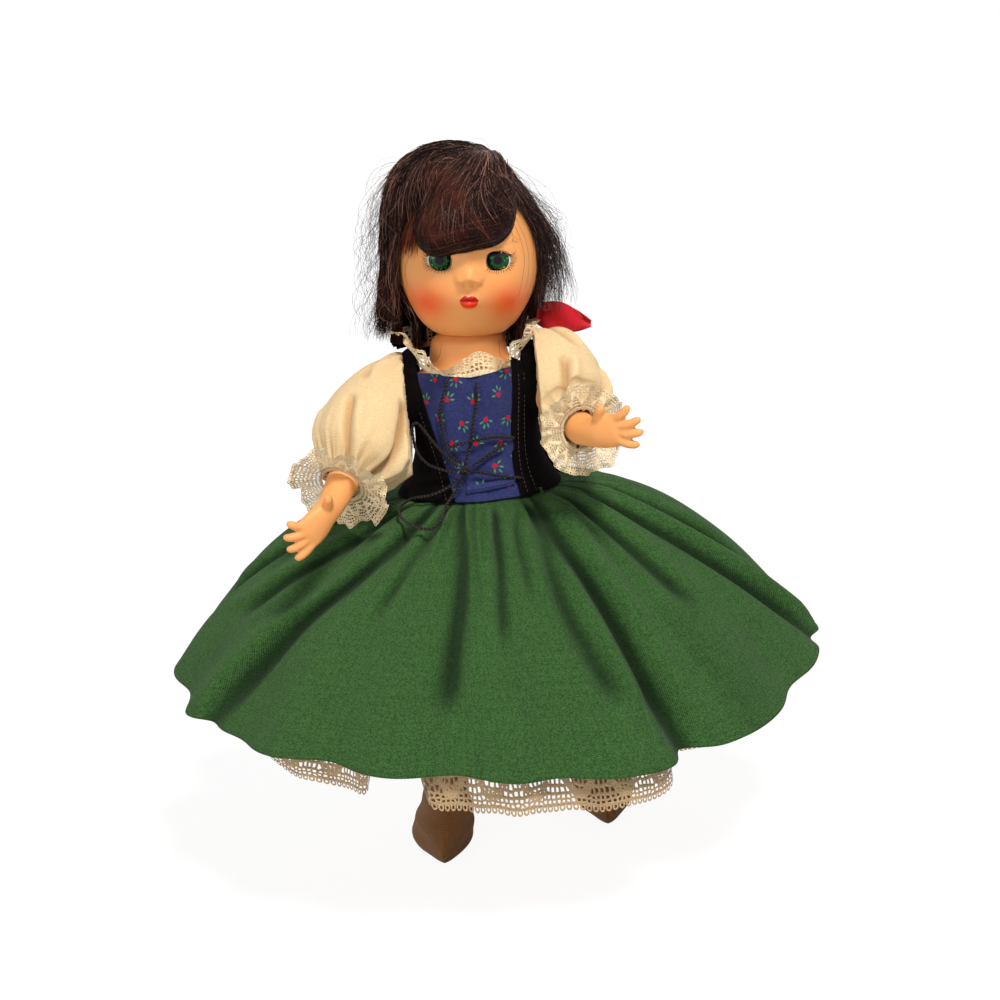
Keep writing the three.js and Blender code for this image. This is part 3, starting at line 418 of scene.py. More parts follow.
def openLace():
    # UV in mm: threads round holes, a dense wavy band, a sewn edge at y = 0 and small loops past y = Width
    tree, given, out = group("openLace", ["Cover", "Height"], Width=8.0, Net=1.2, Thread=0.17, Wave=9.0,
                             Band=1.1, Loop=0.6)
    x, y = apart(given["Vector"])
    width, loop = given["Width"], given["Loop"]
    scale = divided(1.0, given["Net"])
    holes = edges(given["Vector"], scale, 0.45)
    net = below(holes, given["Thread"])
    wave = times(sine(times(divided(x, given["Wave"]), 6.283)), times(width, 0.2))
    band = below(absolute(minus(y, plus(times(width, 0.55), wave))), times(given["Band"], 0.5))
    dense = times(band, below(edges(given["Vector"], times(scale, 2.3), 0.6), 0.34))
    sewn, rim, inside = below(y, 0.9), below(absolute(minus(y, width)), 0.28), below(y, width)
    pitch = times(loop, 2.1)
    aside = times(minus(fraction(divided(x, pitch)), 0.5), pitch)
    rise = times(minus(minus(y, width), loop), 0.75)
    far = root(plus(times(aside, aside), times(rise, rise)))
    ring = below(absolute(minus(far, times(loop, 0.68))), 0.2)
    fill(out, Cover=larger(times(larger(net, dense), inside), larger(sewn, larger(rim, ring))),
         Height=larger(minus(1.0, times(holes, 3.0)), band))
    return tree


def mottle():
    # soft uneven colour from noise at two sizes
    tree, given, out = group("mottle", ["Shade"], Scale=60.0, Depth=0.15)
    big = noise(given["Vector"], given["Scale"], 4.0)
    small = noise(given["Vector"], times(given["Scale"], 7.0), 3.0)
    fill(out, Shade=timesPlus(minus(timesPlus(small, 0.4, times(big, 0.6)), 0.5), given["Depth"], 1.0))
    return tree


def knitRows():
    # columns of V-shaped loops on a UV in mm
    tree, given, out = group("knitRows", ["Height"], Pitch=0.8)
    x, y = apart(given["Vector"])
    half = absolute(minus(fraction(divided(x, given["Pitch"])), 0.5))
    y = plus(divided(y, times(given["Pitch"], 0.75)), times(half, 1.2))
    loop = absolute(sine(times(y, 3.1416)))
    wale = sine(times(times(half, 2.0), 3.1416))
    fill(out, Height=times(timesPlus(loop, 0.6, 0.4), wale))
    return tree


weaveGroup, laceGroup, mottleGroup, knitGroup = plainWeave(), openLace(), mottle(), knitRows()


def material(name, roughness=0.5, **sockets):
    made = bpy.data.materials.new(name)
    made.use_nodes = True
    tree = made.node_tree
    shader = tree.nodes["Principled BSDF"]
    return made, tree, fill(shader, Roughness=roughness, **sockets)


def bump(shader, height, distance):
    # relief in mm
    node = put(height.id_data, "Bump", Height=height, Distance=distance * 0.001, Strength=1.0)
    fill(shader, Normal=node.outputs[0])


def painted(tree, label):
    # amount that the mesh carries at each of its points
    return put(tree, "Attribute", {"attribute_name": label}).outputs["Fac"]


def mottled(tree, scale, depth):
    return use(mottleGroup, place(tree), Scale=scale, Depth=depth)["Shade"]


def uvOf(tree):
    return put(tree, "UVMap").outputs[0]


def place(tree):
    return put(tree, "TexCoord").outputs["Object"]


def wovenCloth(name, dark, light, pitch, depth, roughness=0.9, sheen=0.15, variation=0.1, speckle=0.35,
               fold=0.2, foldShadeColour=None):
    # woven cotton: dark between the threads, light on them, with a speckle from thread to thread; the dark
    # and the light from the threads' height are painted shade and painted light
    made, tree, shader = material(name, roughness, Sheen_Weight=sheen, Sheen_Roughness=0.5,
                                  Specular_IOR_Level=0.12)
    weave = use(weaveGroup, uvOf(tree), Pitch=pitch)
    shade = mottled(tree, 60.0, fold)
    amount = timesPlus(weave["Thread"], variation, timesPlus(weave["Height"], 0.65, -variation / 2))
    amount = plus(amount, timesPlus(weave["Cell"], speckle, -speckle / 2))
    amount = times(smaller(larger(amount, 0.0), 1.0), shade)
    color = mixed(amount, dark, light)
    # painted shade in the folds: where the mesh marks a fold, the colour goes towards foldShadeColour when
    # one is given, else towards seven tenths of the dark colour
    deep = [c * 0.7 for c in dark[:3]] + [1] if foldShadeColour is None else foldShadeColour
    fill(shader, Base_Color=mixed(times(painted(tree, "hollow"), 0.86), color, deep))
    bump(shader, weave["Height"], depth)
    return made


def laceMaterial(name, width, net, wave, band, loop, light=(240, 222, 184), dark=(176, 144, 98), thread=0.17):
    made, tree, shader = material(name, 0.85, Sheen_Weight=0.2, Specular_IOR_Level=0.2)
    lace = use(laceGroup, uvOf(tree), Width=width, Net=net, Thread=thread, Wave=wave, Band=band, Loop=loop)
    shade = mottled(tree, 140.0, 0.7)
    grain = noise(place(tree), 2600.0, 2.0)
    fill(shader, Base_Color=tinted(times(shade, timesPlus(grain, 0.5, 0.65)), dark, light),
         Alpha=lace["Cover"])
    bump(shader, plus(lace["Height"], grain), 0.25)
    return made


def metalMaterial(name, color, roughness):
    made, tree, shader = material(name, roughness, Metallic=1.0)
    shade = mottled(tree, 300.0, 0.4)
    fill(shader, Base_Color=mixed(shade, (0.05, 0.05, 0.05, 1), color), Roughness=times(shade, roughness))
    return made


skinValues = {
    "base": linear(234, 162, 98), "shadow": linear(214, 132, 72), "cheek": linear(234, 78, 16),
    "lip": linear(230, 56, 18), "lipShade": linear(176, 12, 4), "lid": linear(30, 16, 12), "roughness": 0.4,
}


def skinMaterial():
    made, tree, shader = material("skin", skinValues["roughness"], Subsurface_Weight=0.06,
                                  Subsurface_Scale=0.003, Coat_Weight=0.02, Coat_Roughness=0.35,
                                  Specular_IOR_Level=0.26)
    fill(shader, Subsurface_Radius=(1.0, 0.45, 0.25))
    shade = mottled(tree, 45.0, 0.5)
    color = mixed(shade, skinValues["shadow"], skinValues["base"])
    blush, lip, mouth, lid = (painted(tree, label) for label in ("blush", "lip", "mouth", "lid"))
    grain = noise(place(tree), 420.0, 3.0)
    color = mixed(times(blush, timesPlus(grain, 0.3, 0.75)), color, skinValues["cheek"])
    lip = step(lip, 0.45, 0.6)
    color = mixed(lip, color, skinValues["lip"])
    color = mixed(times(step(mouth, 0.3, 0.9), lip), color, skinValues["lipShade"])
    fill(shader, Base_Color=mixed(step(lid, 0.4, 0.6), color, skinValues["lid"]),
         Roughness=minus(timesPlus(grain, 0.16, 0.34), times(lip, 0.1)))
    bump(shader, grain, 0.04)
    return made


skin = skinMaterial()
print("materials begun")

# hair colours; the light one is partly the colour of lighter hairs and partly painted glints on single hairs
hairValues = {"dark": linear(12, 5, 5), "middle": linear(46, 23, 19), "light": linear(172, 126, 112),
              "red": linear(124, 52, 28)}


def hairMaterial(name, lift=0.0, red=0.0):
    # each hair keeps one shade, the random number in its UV; a few are red-brown. The light ones are partly
    # lighter hairs and partly painted glints; more lift gives more of them
    made, tree, shader = material(name, 0.4, Specular_IOR_Level=0.11)
    own = whiteNoise("W", times(apart(uvOf(tree))[0], 917.0), "1D")
    patch = noise(place(tree), 55.0, 3.0)
    color = mixed(step(own, 0.25, 0.85), hairValues["dark"], hairValues["middle"])
    color = mixed(step(own, 0.8 - lift, 1.0), color, hairValues["light"])
    warm = times(step(patch, 0.5, 0.75), step(fraction(times(own, 7.0)), 0.3, 0.9))
    warm = smaller(plus(warm, red), 1.0)
    fill(shader, Base_Color=mixed(warm, color, hairValues["red"]), Roughness=timesPlus(own, 0.2, 0.3))
    return made


def hairMassMaterial():
    # under layer: fine streaks that run down the UV; the light streaks are partly lighter hair and partly
    # painted glints
    made, tree, shader = material("hairMass", 0.8, Specular_IOR_Level=0.02)
    streak = noise(stretched(uvOf(tree), (9.0, 0.12, 1.0)), 1.0, 4.0, 0.7)
    color = mixed(step(streak, 0.35, 0.7), hairValues["dark"], hairValues["middle"])
    fill(shader, Base_Color=mixed(step(streak, 0.66, 0.85, 0.0, 0.3), color, hairValues["light"]))
    bump(shader, streak, 0.5)
    return made


def eyeMaterial():
    # UV: the turn round the pupil and the distance from it in mm; lid is the height over the lid's edge in mm
    made, tree, shader = material("eye", 0.15, Coat_Weight=0.22, Coat_Roughness=0.03, Specular_IOR_Level=0.12)
    around, r = apart(uvOf(tree))
    streak = noise(together(times(around, 60.0), times(r, 1.1)), 1.0, 3.0, 0.6)
    speck = noise(place(tree), 1500.0, 2.0)
    iris = tinted(step(streak, 0.38, 0.68), (2, 26, 13), (16, 104, 48))
    iris = mixed(times(step(speck, 0.58, 0.66), step(r, 1.5, 2.1)), iris, linear(120, 200, 110))
    iris = mixed(step(r, 2.55, 3.0), iris, linear(3, 16, 9))
    iris = mixed(step(r, 1.3, 1.1), iris, (0.0, 0.0, 0.0, 1))
    white = tinted(noise(place(tree), 300.0), (214, 200, 176), (236, 226, 208))
    color = mixed(step(r, 3.2, 3.08), white, iris)
    lid = painted(tree, "lid")
    color = mixed(step(lid, -0.05, 0.05), color, linear(24, 14, 10))
    fill(shader, Base_Color=mixed(step(lid, 0.5, 0.6), color, skinValues["base"]),
         Roughness=step(lid, -0.05, 0.05, 0.1, 0.45))
    return made


def velvetMaterial():
    # short black pile: fine noise stands for the fibre ends
    made, tree, shader = material("velvet", 0.95, Sheen_Weight=0.12, Sheen_Roughness=0.35,
                                  Specular_IOR_Level=0.03)
    fill(shader, Sheen_Tint=linear(120, 100, 105))
    pile = noise(place(tree), 3200.0, 2.0)
    shade = mottled(tree, 90.0, 1.1)
    fill(shader, Base_Color=tinted(times(pile, shade), (2, 2, 3), (24, 20, 21)))
    bump(shader, pile, 0.3)
    return made


def printMaterial():
    # blue woven cotton with the small flowers that the panel carries as an attribute; every colour is darker
    # between the threads and lighter on them, painted shade and painted light
    made, tree, shader = material("printedCotton", 0.9, Sheen_Weight=0.08, Specular_IOR_Level=0.1)
    weave = use(weaveGroup, uvOf(tree), Pitch=0.22)
    amount = timesPlus(weave["Cell"], 0.4, times(weave["Height"], 0.5))
    color = tinted(amount, (8, 9, 38), (66, 76, 142))
    petal, leaf = painted(tree, "petal"), painted(tree, "leaf")
    color = mixed(step(leaf, 0.4, 0.6), color, tinted(weave["Height"], (40, 96, 66), (104, 168, 116)))
    fill(shader, Base_Color=mixed(step(petal, 0.4, 0.6), color,
                                  tinted(weave["Height"], (150, 14, 26), (214, 34, 48))))
    bump(shader, weave["Height"], 0.08)
    return made


def cordMaterial():
    # twisted black thread: slanting ply lines on the tube's UV, with painted shade in the grooves between the
    # plies and painted light on them
    made, tree, shader = material("lacingCord", 0.6, Sheen_Weight=0.05, Specular_IOR_Level=0.2)
    across, down = apart(uvOf(tree))
    phase = plus(times(across, 2.0), times(down, 0.9))
    ply = absolute(sine(times(phase, 3.1416)))
    fibre = noise(place(tree), 2400.0, 2.0)
    fill(shader, Base_Color=tinted(times(ply, fibre), (4, 3, 3), (58, 47, 44)))
    bump(shader, ply, 0.25)
    return made


def satinMaterial():
    made, tree, shader = material("redSatin", 0.45, Specular_IOR_Level=0.25, Sheen_Weight=0.1)
    thread = noise(stretched(uvOf(tree), (0.4, 14.0, 1.0)), 1.0, 2.0)
    shade = mottled(tree, 120.0, 0.8)
    fill(shader, Base_Color=tinted(times(shade, timesPlus(thread, 0.6, 0.4)), (96, 2, 10), (222, 14, 40)))
    bump(shader, thread, 0.06)
    return made


def stockingMaterial():
    made, tree, shader = material("knitStocking", 0.95, Sheen_Weight=0.3, Sheen_Roughness=0.5,
                                  Specular_IOR_Level=0.15)
    knit = use(knitGroup, uvOf(tree), Pitch=0.62)
    shade = mottled(tree, 110.0, 0.7)
    # the loops' height sets the colour: painted shade between the loops and painted light on them
    fill(shader, Base_Color=tinted(times(knit["Height"], shade), (98, 60, 31), (168, 120, 70)))
    bump(shader, knit["Height"], 0.2)
    return made


def rubberMaterial():
    made, tree, shader = material("coveredElastic", 0.8)
    rib = noise(place(tree), 900.0, 2.0)
    fill(shader, Base_Color=tinted(rib, (160, 150, 130), (214, 204, 184)))
    bump(shader, rib, 0.2)
    return made


hairFibre, hairMass = hairMaterial("hairFibre"), hairMassMaterial()
skirtCotton = wovenCloth("skirtCotton", linear(3, 20, 10), linear(88, 140, 75), 0.34, 0.1, variation=0.1,
                         speckle=0.36, fold=0.22, sheen=0.04)
# the ivory cotton's painted shade in the folds has a colour of its own
ivoryCotton = wovenCloth("ivoryCotton", linear(206, 172, 120), linear(255, 238, 200), 0.28, 0.03,
                         variation=0.05, speckle=0.2, fold=0.15, foldShadeColour=linear(176, 134, 84))
velvet, printedCotton, cordBlack = velvetMaterial(), printMaterial(), cordMaterial()
redSatin, knitStocking, elastic = satinMaterial(), stockingMaterial(), rubberMaterial()
eyeFinish = eyeMaterial()
steel = metalMaterial("steel", (0.6, 0.6, 0.6, 1), 0.35)
lead = metalMaterial("dullWeight", (0.25, 0.25, 0.27, 1), 0.6)
# the hem's lace is darker than the cuffs' and the collar's: painted shade, for it hangs under the skirt's
# edge
shadedHemLace = laceMaterial("shadedHemLace", 9.6, 1.2, 11.0, 1.9, 0.75, light=(190, 164, 128), dark=(122, 96, 66),
                       thread=0.23)
cuffLace = laceMaterial("cuffLace", 7.4, 1.0, 8.0, 1.6, 0.55, thread=0.25)
collarLace = laceMaterial("collarLace", 5.9, 1.25, 7.0, 1.0, 0.5, thread=0.23)
print("materials made")


def finish(piece, look, body, *nodes, slot=None):
    piece.data.materials.clear()
    piece.data.materials.append(look)
    if nodes:
        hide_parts(*nodes)
    if body:
        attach(piece, body)
    return piece


cameraPlace = {"position": (0.0052, -0.48, 0.24), "down": 16.0, "roll": 5.0, "lens": 62.2}


def makeCamera():
    data = bpy.data.cameras.new("Camera")
    data.lens, data.sensor_width = cameraPlace["lens"], 36.0
    data.clip_start, data.clip_end = 0.01, 20
    camera = bpy.data.objects.new("Camera", data)
    d, o = np.radians(cameraPlace["down"]), np.radians(cameraPlace["roll"])
    forward = Vector((0, np.cos(d), -np.sin(d)))
    level, rise = Vector((1, 0, 0)), Vector((0, np.sin(d), np.cos(d)))
    right = level * np.cos(o) - rise * np.sin(o)
    up = level * np.sin(o) + rise * np.cos(o)
    turned = Matrix((right, up, -forward)).transposed().to_4x4()
    camera.matrix_world = Matrix.Translation(cameraPlace["position"]) @ turned
    bpy.context.scene.collection.objects.link(camera)
    bpy.context.scene.camera = camera


studio = {
    "world": 0.17,
    "lamps": [  # place, size, watts, colour
        ((0.32, -0.66, 1.2), 0.26, 17.5, (1.0, 0.94, 0.86)),
        ((-0.75, -0.85, 0.5), 0.6, 4.2, (1.0, 0.94, 0.87)),
        ((0.3, 0.8, 0.9), 0.7, 3.0, (1.0, 1.0, 1.0)),
    ],
}


def makeStudio():
    world = bpy.data.worlds.new("World")
    bpy.context.scene.world = world
    world.use_nodes = True
    tree = world.node_tree
    tree.nodes.clear()
    path = put(tree, "LightPath").outputs
    seen = larger(larger(path["Is Camera Ray"], path["Is Glossy Ray"]), path["Is Transmission Ray"])
    strength = timesPlus(seen, 1.0 - studio["world"], studio["world"])
    back = put(tree, "Background", Color=(1, 1, 1, 1), Strength=strength)
    put(tree, "OutputWorld", Surface=back.outputs[0])
    for i, (spot, size, watts, color) in enumerate(studio["lamps"]):
        data = bpy.data.lights.new("Lamp", "AREA")
        data.size, data.energy, data.color = size, watts, color
        lamp = bpy.data.objects.new("Lamp" + str(i + 1), data)
        lamp.location = spot
        lamp.rotation_euler = (Vector((0, 0, 0.1)) - Vector(spot)).to_track_quat("-Z", "Y").to_euler()
        bpy.context.scene.collection.objects.link(lamp)
    mesh = bpy.data.meshes.new("floor")
    half, under = 6, -0.0002
    mesh.from_pydata([(x * half, y * half, under) for x, y in ((-1, -1), (1, -1), (1, 1), (-1, 1))], [],
                     [(0, 1, 2, 3)])
    floor = bpy.data.objects.new("floor", mesh)
    bpy.context.scene.collection.objects.link(floor)
    made, tree, shader = material("floor", 0.9, Base_Color=(0.86, 0.86, 0.86, 1))
    path = put(tree, "LightPath").outputs
    glow = put(tree, "Emission", Color=(1, 1, 1, 1), Strength=1.07)
    # near the object the floor takes its light and its shadow, and far off it is as white as the background
    away = put(tree, "VectorMath", {"operation": "LENGTH"}, Vector=place(tree)).outputs["Value"]
    seen = times(larger(path["Is Camera Ray"], path["Is Glossy Ray"]), step(away, 0.3, 0.75, 0.86, 1.0))
    both = put(tree, "MixShader")
    for socket, value in zip(both.inputs, (seen, shader.outputs[0], glow.outputs[0])):
        link(socket, value)
    fill(tree.nodes["Material Output"], Surface=both.outputs[0])
    mesh.materials.append(made)


makeCamera()
makeStudio()
bpy.context.scene.view_settings.view_transform = "Standard"
print("camera and light set")

dress = {
    "waistZ": 107.2, "waistW": 22.5, "waistD": 17, "hemRight": 94.85, "hemLeft": 95.45,
    "hemFront": 80, "hemBack": 80.5, "petticoatIn": 2.2, "petticoatEnd": 0.86, "cloth": 92, "laceWidth": 11.3,
    # height of the hem by turn from the front, towards the doll's left
    "hem": [(-180, 61), (-140, 65), (-100, 64), (-80, 61), (-62, 58), (-52, 55.5), (-35, 55.5), (-12, 52),
            (10, 49), (35, 46.5), (60, 51.5), (90, 58), (140, 61), (180, 60)],
    # how soon the cloth swells out below the waist: less is sooner
    "swell": [(-180, 0.52), (-90, 0.48), (-45, 0.6), (0, 0.7), (45, 0.62), (90, 0.52), (180, 0.52)],
    # folds: turn, width in degrees, depth as a share of the reach
    "folds": [(-8, 7, 0.07), (9, 5, 0.045), (36, 6, 0.09), (62, 6, 0.04), (96, 8, 0.1), (122, 8, 0.11),
              (150, 8, 0.1), (178, 8, 0.1), (-30, 6, 0.05), (-52, 7, 0.05), (-74, 6, 0.04), (-99, 7, 0.13),
              (-126, 8, 0.1), (-152, 8, 0.11)],
    "lace": [(-180, -1.5), (-60, -1.5), (-44, 0.5), (-36, 6), (-27, 7), (-23.5, 6), (-22, -1.5),
             (-14.5, -1.5), (-13, 9), (0, 9.5), (15, 9.5), (25, 8), (31, 6), (34, 1), (46, 0.5), (60, -1.5),
             (180, -1.5)],
}


def skirtSurface(turn, share, inward=0.0, drop=0.0, extra=0.0):
    # reach grows with a power of the share from waist to hem, and each fold is a bell-shaped hollow in the
    # turn; inward moves square to the cloth, extra adds to the reach in mm, drop lowers the point
    turn, share = np.broadcast_arrays(np.asarray(turn, float), np.asarray(share, float))
    signed = fromFront(turn)
    power = along(dress["swell"], signed)[..., 0]
    hem = along(dress["hem"], signed)[..., 0]
    swell = np.maximum(share, 0) ** power
    fold = 0
    for at, width, depth in dress["folds"]:
        away = fromFront(turn - at)
        fold = fold + depth * bell(away / width)
    deep = 1 - fold * np.minimum(1, 0.15 + 1.1 * share)
    toLeft = ease((signed + 12) / 24)
    spread = dress["hemRight"] * (1 - toLeft) + dress["hemLeft"] * toLeft - dress["waistW"]
    run = spread * power * np.maximum(share, 0.01) ** (power - 1)
    fall = dress["waistZ"] - hem
    length = np.hypot(run, fall)
    inset = inward * fall / length
    w = (dress["waistW"] + spread * swell) * deep - inset + extra
    front = ease((95 - np.abs(signed)) / 10)
    reach = dress["hemFront"] * front + dress["hemBack"] * (1 - front)
    d = (dress["waistD"] + (reach - dress["waistD"]) * swell) * deep - inset + extra
    z = dress["waistZ"] - fall * share - inward * run / length - drop
    a = np.radians(turn)
    return xyz(w * np.sin(a), -d * np.cos(a), z)


def valleys(across, share, lines, scale, around=None):
    # hollows along lines through (share, place across): bell-shaped, with a lower ridge on one side, fading
    # at both ends of the line; scale is the millimetres per unit across
    total = 0
    for path, width, depth, ridge in lines:
        off = across - along(path, share)[..., 0]
        if around:
            off = (off + around / 2) % around - around / 2
        off = off * scale
        start, end = path[0][0], path[-1][0]
        fade = (ease((share - start) / 0.1 + 0.4 * (start <= 0))
                * ease((end - share) / 0.14 + 0.8 * (end >= 1)))
        beside = abs(ridge) * bell((off - np.sign(ridge) * 1.9 * width) / (1.2 * width))
        total = total - depth * fade * (bell(off / width) - beside)
    return total


def waistGathers(turn, share):
    # small pleats that fan out of the waist seam and fade towards the hem, each wandering a little
    a = np.radians(turn)
    wander = 0.05 * np.sin(3 * a + 1.0) + 0.04 * share * np.sin(5 * a)
    fine = np.sin(34 * (a + wander)) + 0.6 * np.sin(55 * (a + wander) + 2.0)
    return fine * np.exp(-share / 0.2) * ease(share / 0.03 + 0.3)


creases = [
    # line through (share of the way down, turn), half width in mm, depth in mm, ridge beside it
    ([(0, -13), (0.12, -9), (0.32, -8), (0.56, -9.2), (0.8, -10)], 2.6, 3.8, 0.4),
    ([(0, -6), (0.1, -4.5), (0.25, -3.5), (0.4, -3)], 1.3, 1.9, 0.5),
    ([(0, 10), (0.1, 5.6), (0.21, 4.6), (0.35, 3.4), (0.55, 2.6)], 1.8, 2.5, -0.5),
    ([(0, 1), (0.1, -0.5), (0.25, -1)], 1.0, 1.3, 0.4),
    ([(0, 38), (0.06, 33), (0.18, 30.2), (0.31, 30.6), (0.45, 31.2), (0.6, 31.6), (0.77, 32.2), (1, 33.5)],
     3.4, 6.7, 0.75),
    ([(0, 30), (0.08, 25), (0.33, 20.5), (0.55, 21.5), (0.8, 24)], 3.6, 3.6, 0.35),
    ([(0, 24), (0.1, 15), (0.25, 12.5), (0.4, 12)], 1.8, 2.0, 0.4),
    ([(0, 72), (0.1, 67), (0.36, 70), (0.68, 76), (1, 81)], 3.0, 5.2, 0.7),
    ([(0, 55), (0.1, 51), (0.3, 51), (0.55, 54)], 3.4, 3.2, 0.4),
    ([(0, 84), (0.15, 80), (0.4, 84), (0.8, 90)], 3.0, 3.8, 0.5),
    ([(0, -32), (0.14, -35.8), (0.28, -41.5), (0.48, -51), (0.7, -56), (1, -60)], 3.2, 4.9, -0.6),
    ([(0, -22), (0.1, -24), (0.25, -27), (0.45, -31)], 1.9, 2.3, -0.45),
    ([(0, -17), (0.08, -17), (0.2, -17.5)], 1.1, 1.6, -0.4),
    ([(0, -52), (0.15, -56), (0.35, -66), (0.6, -74)], 3.2, 4.3, -0.5),
    ([(0, -75), (0.2, -80), (0.5, -88), (0.9, -94)], 3.0, 3.8, -0.5),
]


def skirtRelief(turn, share):
    # all the creases, wider and softer towards the hem, and a slow wave between them
    around = fromFront(turn)
    scale = np.radians(1) * (22 + 66 * np.clip(share, 0, 1) ** 0.7)
    widen = 0.55 + 0.75 * np.clip(share, 0, 1)
    total = 0
    for path, width, depth, ridge in creases:
        total = total + valleys(around, share, [(path, 1.0, depth, ridge)], scale / (width * widen))
    return total * (1 - 0.45 * ease((share - 0.78) / 0.2)) + 0.3 * waves(np.radians(turn) + share * 2, 3,
                                                                         6) * share


def foldShadeOf(relief):
    # painted shade for the folds: how deep each point lies beside its neighbours round the cloth, 1 in the
    # bottom of a fold, 0 on its back
    wide = relief
    for reach in (3, 6, 10):
        wide = (wide + np.roll(wide, reach, axis=1) + np.roll(wide, -reach, axis=1)) / 3
    return 0.55 * np.clip((wide - relief) / 2.2, 0, 1) + 0.45 * np.clip((0.6 - relief) / 7, 0, 1)


def makeSkirt():
    # one sheet from inside the bodice down to the hem, where it turns up inside for its stitched edge
    cols = 540
    turn = circle(cols, -180, 180)
    share = column(106) ** 1.25
    extra = waistGathers(turn, share) + skirtRelief(turn, share)
    stitched = 0.22 * bell((share - 0.962) / 0.006)
    points = skirtSurface(turn, share, 0.3, 0.0, extra - stitched)
    waist = [points[:1] * np.array([0.965, 0.965, 1]) + np.array([0, 0, rise]) for rise in (1.8, 0.9)]
    inside = [skirtSurface(turn, np.array([[at]]), 0.3 + deep, 0.0, extra[-1:])
              for at, deep in ((1.0, 0.35), (0.985, 0.5), (0.965, 0.5))]
    down = np.concatenate([[-2, -1], share[:, 0] * dress["cloth"], [92.5, 94, 96]])[:, None]
    uv = uvGrid(row(cols + 1, 0, 2 * np.pi * 90), down)
    # painted shade in the folds, which the mesh carries for the cloth's colour
    hollow = foldShadeOf(extra)
    hollow = np.concatenate([hollow[:1]] * 2 + [hollow] + [hollow[-1:]] * 3)
    points = np.concatenate([*waist, points, *inside])
    piece = sheet("skirtCloth", points, uv, closed=True, flip=True, attributes={"hollow": hollow})
    return finish(piece, skirtCotton, "torso", "skirt", slot="skirt_cotton")


def makePetticoat():
    # follows the skirt's surface a little inside it, with only the folds that push it in
    turn = circle(460, -180, 180)
    share = column(50, 0, dress["petticoatEnd"] + 0.012) ** 1.1
    pressed = np.minimum(skirtRelief(turn, share), 0.5) - 1.2 * ease(share / 0.2)
    points = skirtSurface(turn, share, dress["petticoatIn"] + 0.8, 0.0, pressed)
    piece = sheet("petticoatCloth", points, uvGrid(row(461, 0, 540), share * 90), closed=True, flip=True)
    return finish(piece, ivoryCotton, "torso", "petticoat", slot="ivory_cotton")


def makeHemLace():
    # sewn to the petticoat's edge: hangs by its own amount at each turn, with soft flutes
    turn, v = circle(900, -180, 180), column(22)
    hang = 3 + along(dress["lace"], fromFront(turn))[..., 0]
    flute = 0.8 * np.sin(np.radians(turn) * 46 + 1.5 * np.sin(np.radians(turn) * 7)) * v
    share = 0.872 + 0.078 * np.minimum(v * 1.6, 1)
    inward = dress["petticoatIn"] - 0.6 * v + 0.35 + flute
    points = skirtSurface(turn, share, inward, v * hang, 0.8 * skirtRelief(turn, share))
    lace = sheet("petticoatHemLace", points, uvGrid(row(901, 0, 540), v * dress["laceWidth"]), closed=True,
                 flip=True)
    return finish(lace, shadedHemLace, "torso", "petticoat_lace", slot="lace")


skirtPiece = makeSkirt()
petticoatPiece, hemLacePiece = makePetticoat(), makeHemLace()
print("skirt made")

bodice = {
    # height, half width, front, back
    "rows": [(107.6, 23, 17.5, 16), (110, 21.4, 16.6, 15), (114, 19, 15.4, 14), (120, 17.4, 14.6, 13.4),
             (128, 16.9, 14.2, 13), (136, 17, 13.9, 12.6), (143.5, 16.6, 12.8, 12)],
    "bottom": 107.55, "printTop": 142.6, "armhole": 8.3, "shoulderZ": 135.5, "sleeveSeam": 18.8,
    # turns of the slanting edges at the waist and at the neckline
    "printRight": (-17, -62), "printLeft": (27, 42),
    "budRow": 6.3, "budColumn": 7.0,
}


def bodiceSurface(turn, z, grow=0.0):
    # ovals whose half width, front and back change with the height; grow adds to all three
    turn, z = np.broadcast_arrays(np.asarray(turn, float), np.asarray(z, float))
    w, front, back = curves(bodice["rows"], z)
    a = np.radians(turn)
    reach = np.where(np.cos(a) > 0, front, back)
    return xyz((w + grow) * np.sin(a), -np.cos(a) * (reach + grow), z)


def printedMarks(across, up):
    # rosebuds in staggered rows: three small petals and four leaves each, turned and moved at random
    r = np.random.default_rng(7)
    petal, leaf = np.full(across.shape, -9.0), np.full(across.shape, -9.0)
    for high in range(7):
        for beside in range(-4, 5):
            x = (beside + 0.5 * (high % 2)) * bodice["budColumn"] + r.uniform(-0.9, 0.9)
            z = bodice["bottom"] + 3.0 + high * bodice["budRow"] + r.uniform(-0.9, 0.9)
            tilt = r.uniform(-0.9, 0.9) + (np.pi if r.random() < 0.35 else 0)
            dx, dz = across - x, up - z
            px, pz = dx * np.cos(tilt) + dz * np.sin(tilt), dz * np.cos(tilt) - dx * np.sin(tilt)
            for k in range(3):
                a = 2.1 * k + r.uniform(-0.3, 0.3)
                petal = np.maximum(petal, 0.44 - np.hypot(px - 0.34 * np.cos(a), pz - 0.34 * np.sin(a)))
            for angle, far, half in ((0.7, 1.5, 0.7), (1.35, 2.0, 0.8), (2.0, 1.7, 0.8), (2.9, 1.5, 0.7)):
                angle = angle + r.uniform(-0.15, 0.15)
                lx = px - far * np.cos(angle)
                lz = pz - far * np.sin(angle)
                s, n = lx * np.cos(angle) + lz * np.sin(angle), lz * np.cos(angle) - lx * np.sin(angle)
                leaf = np.maximum(leaf, 0.26 * (1 - (s / half) ** 2) - np.abs(n))
    return np.clip(0.5 + petal / 0.3, 0, 1), np.clip(0.5 + leaf / 0.3, 0, 1)


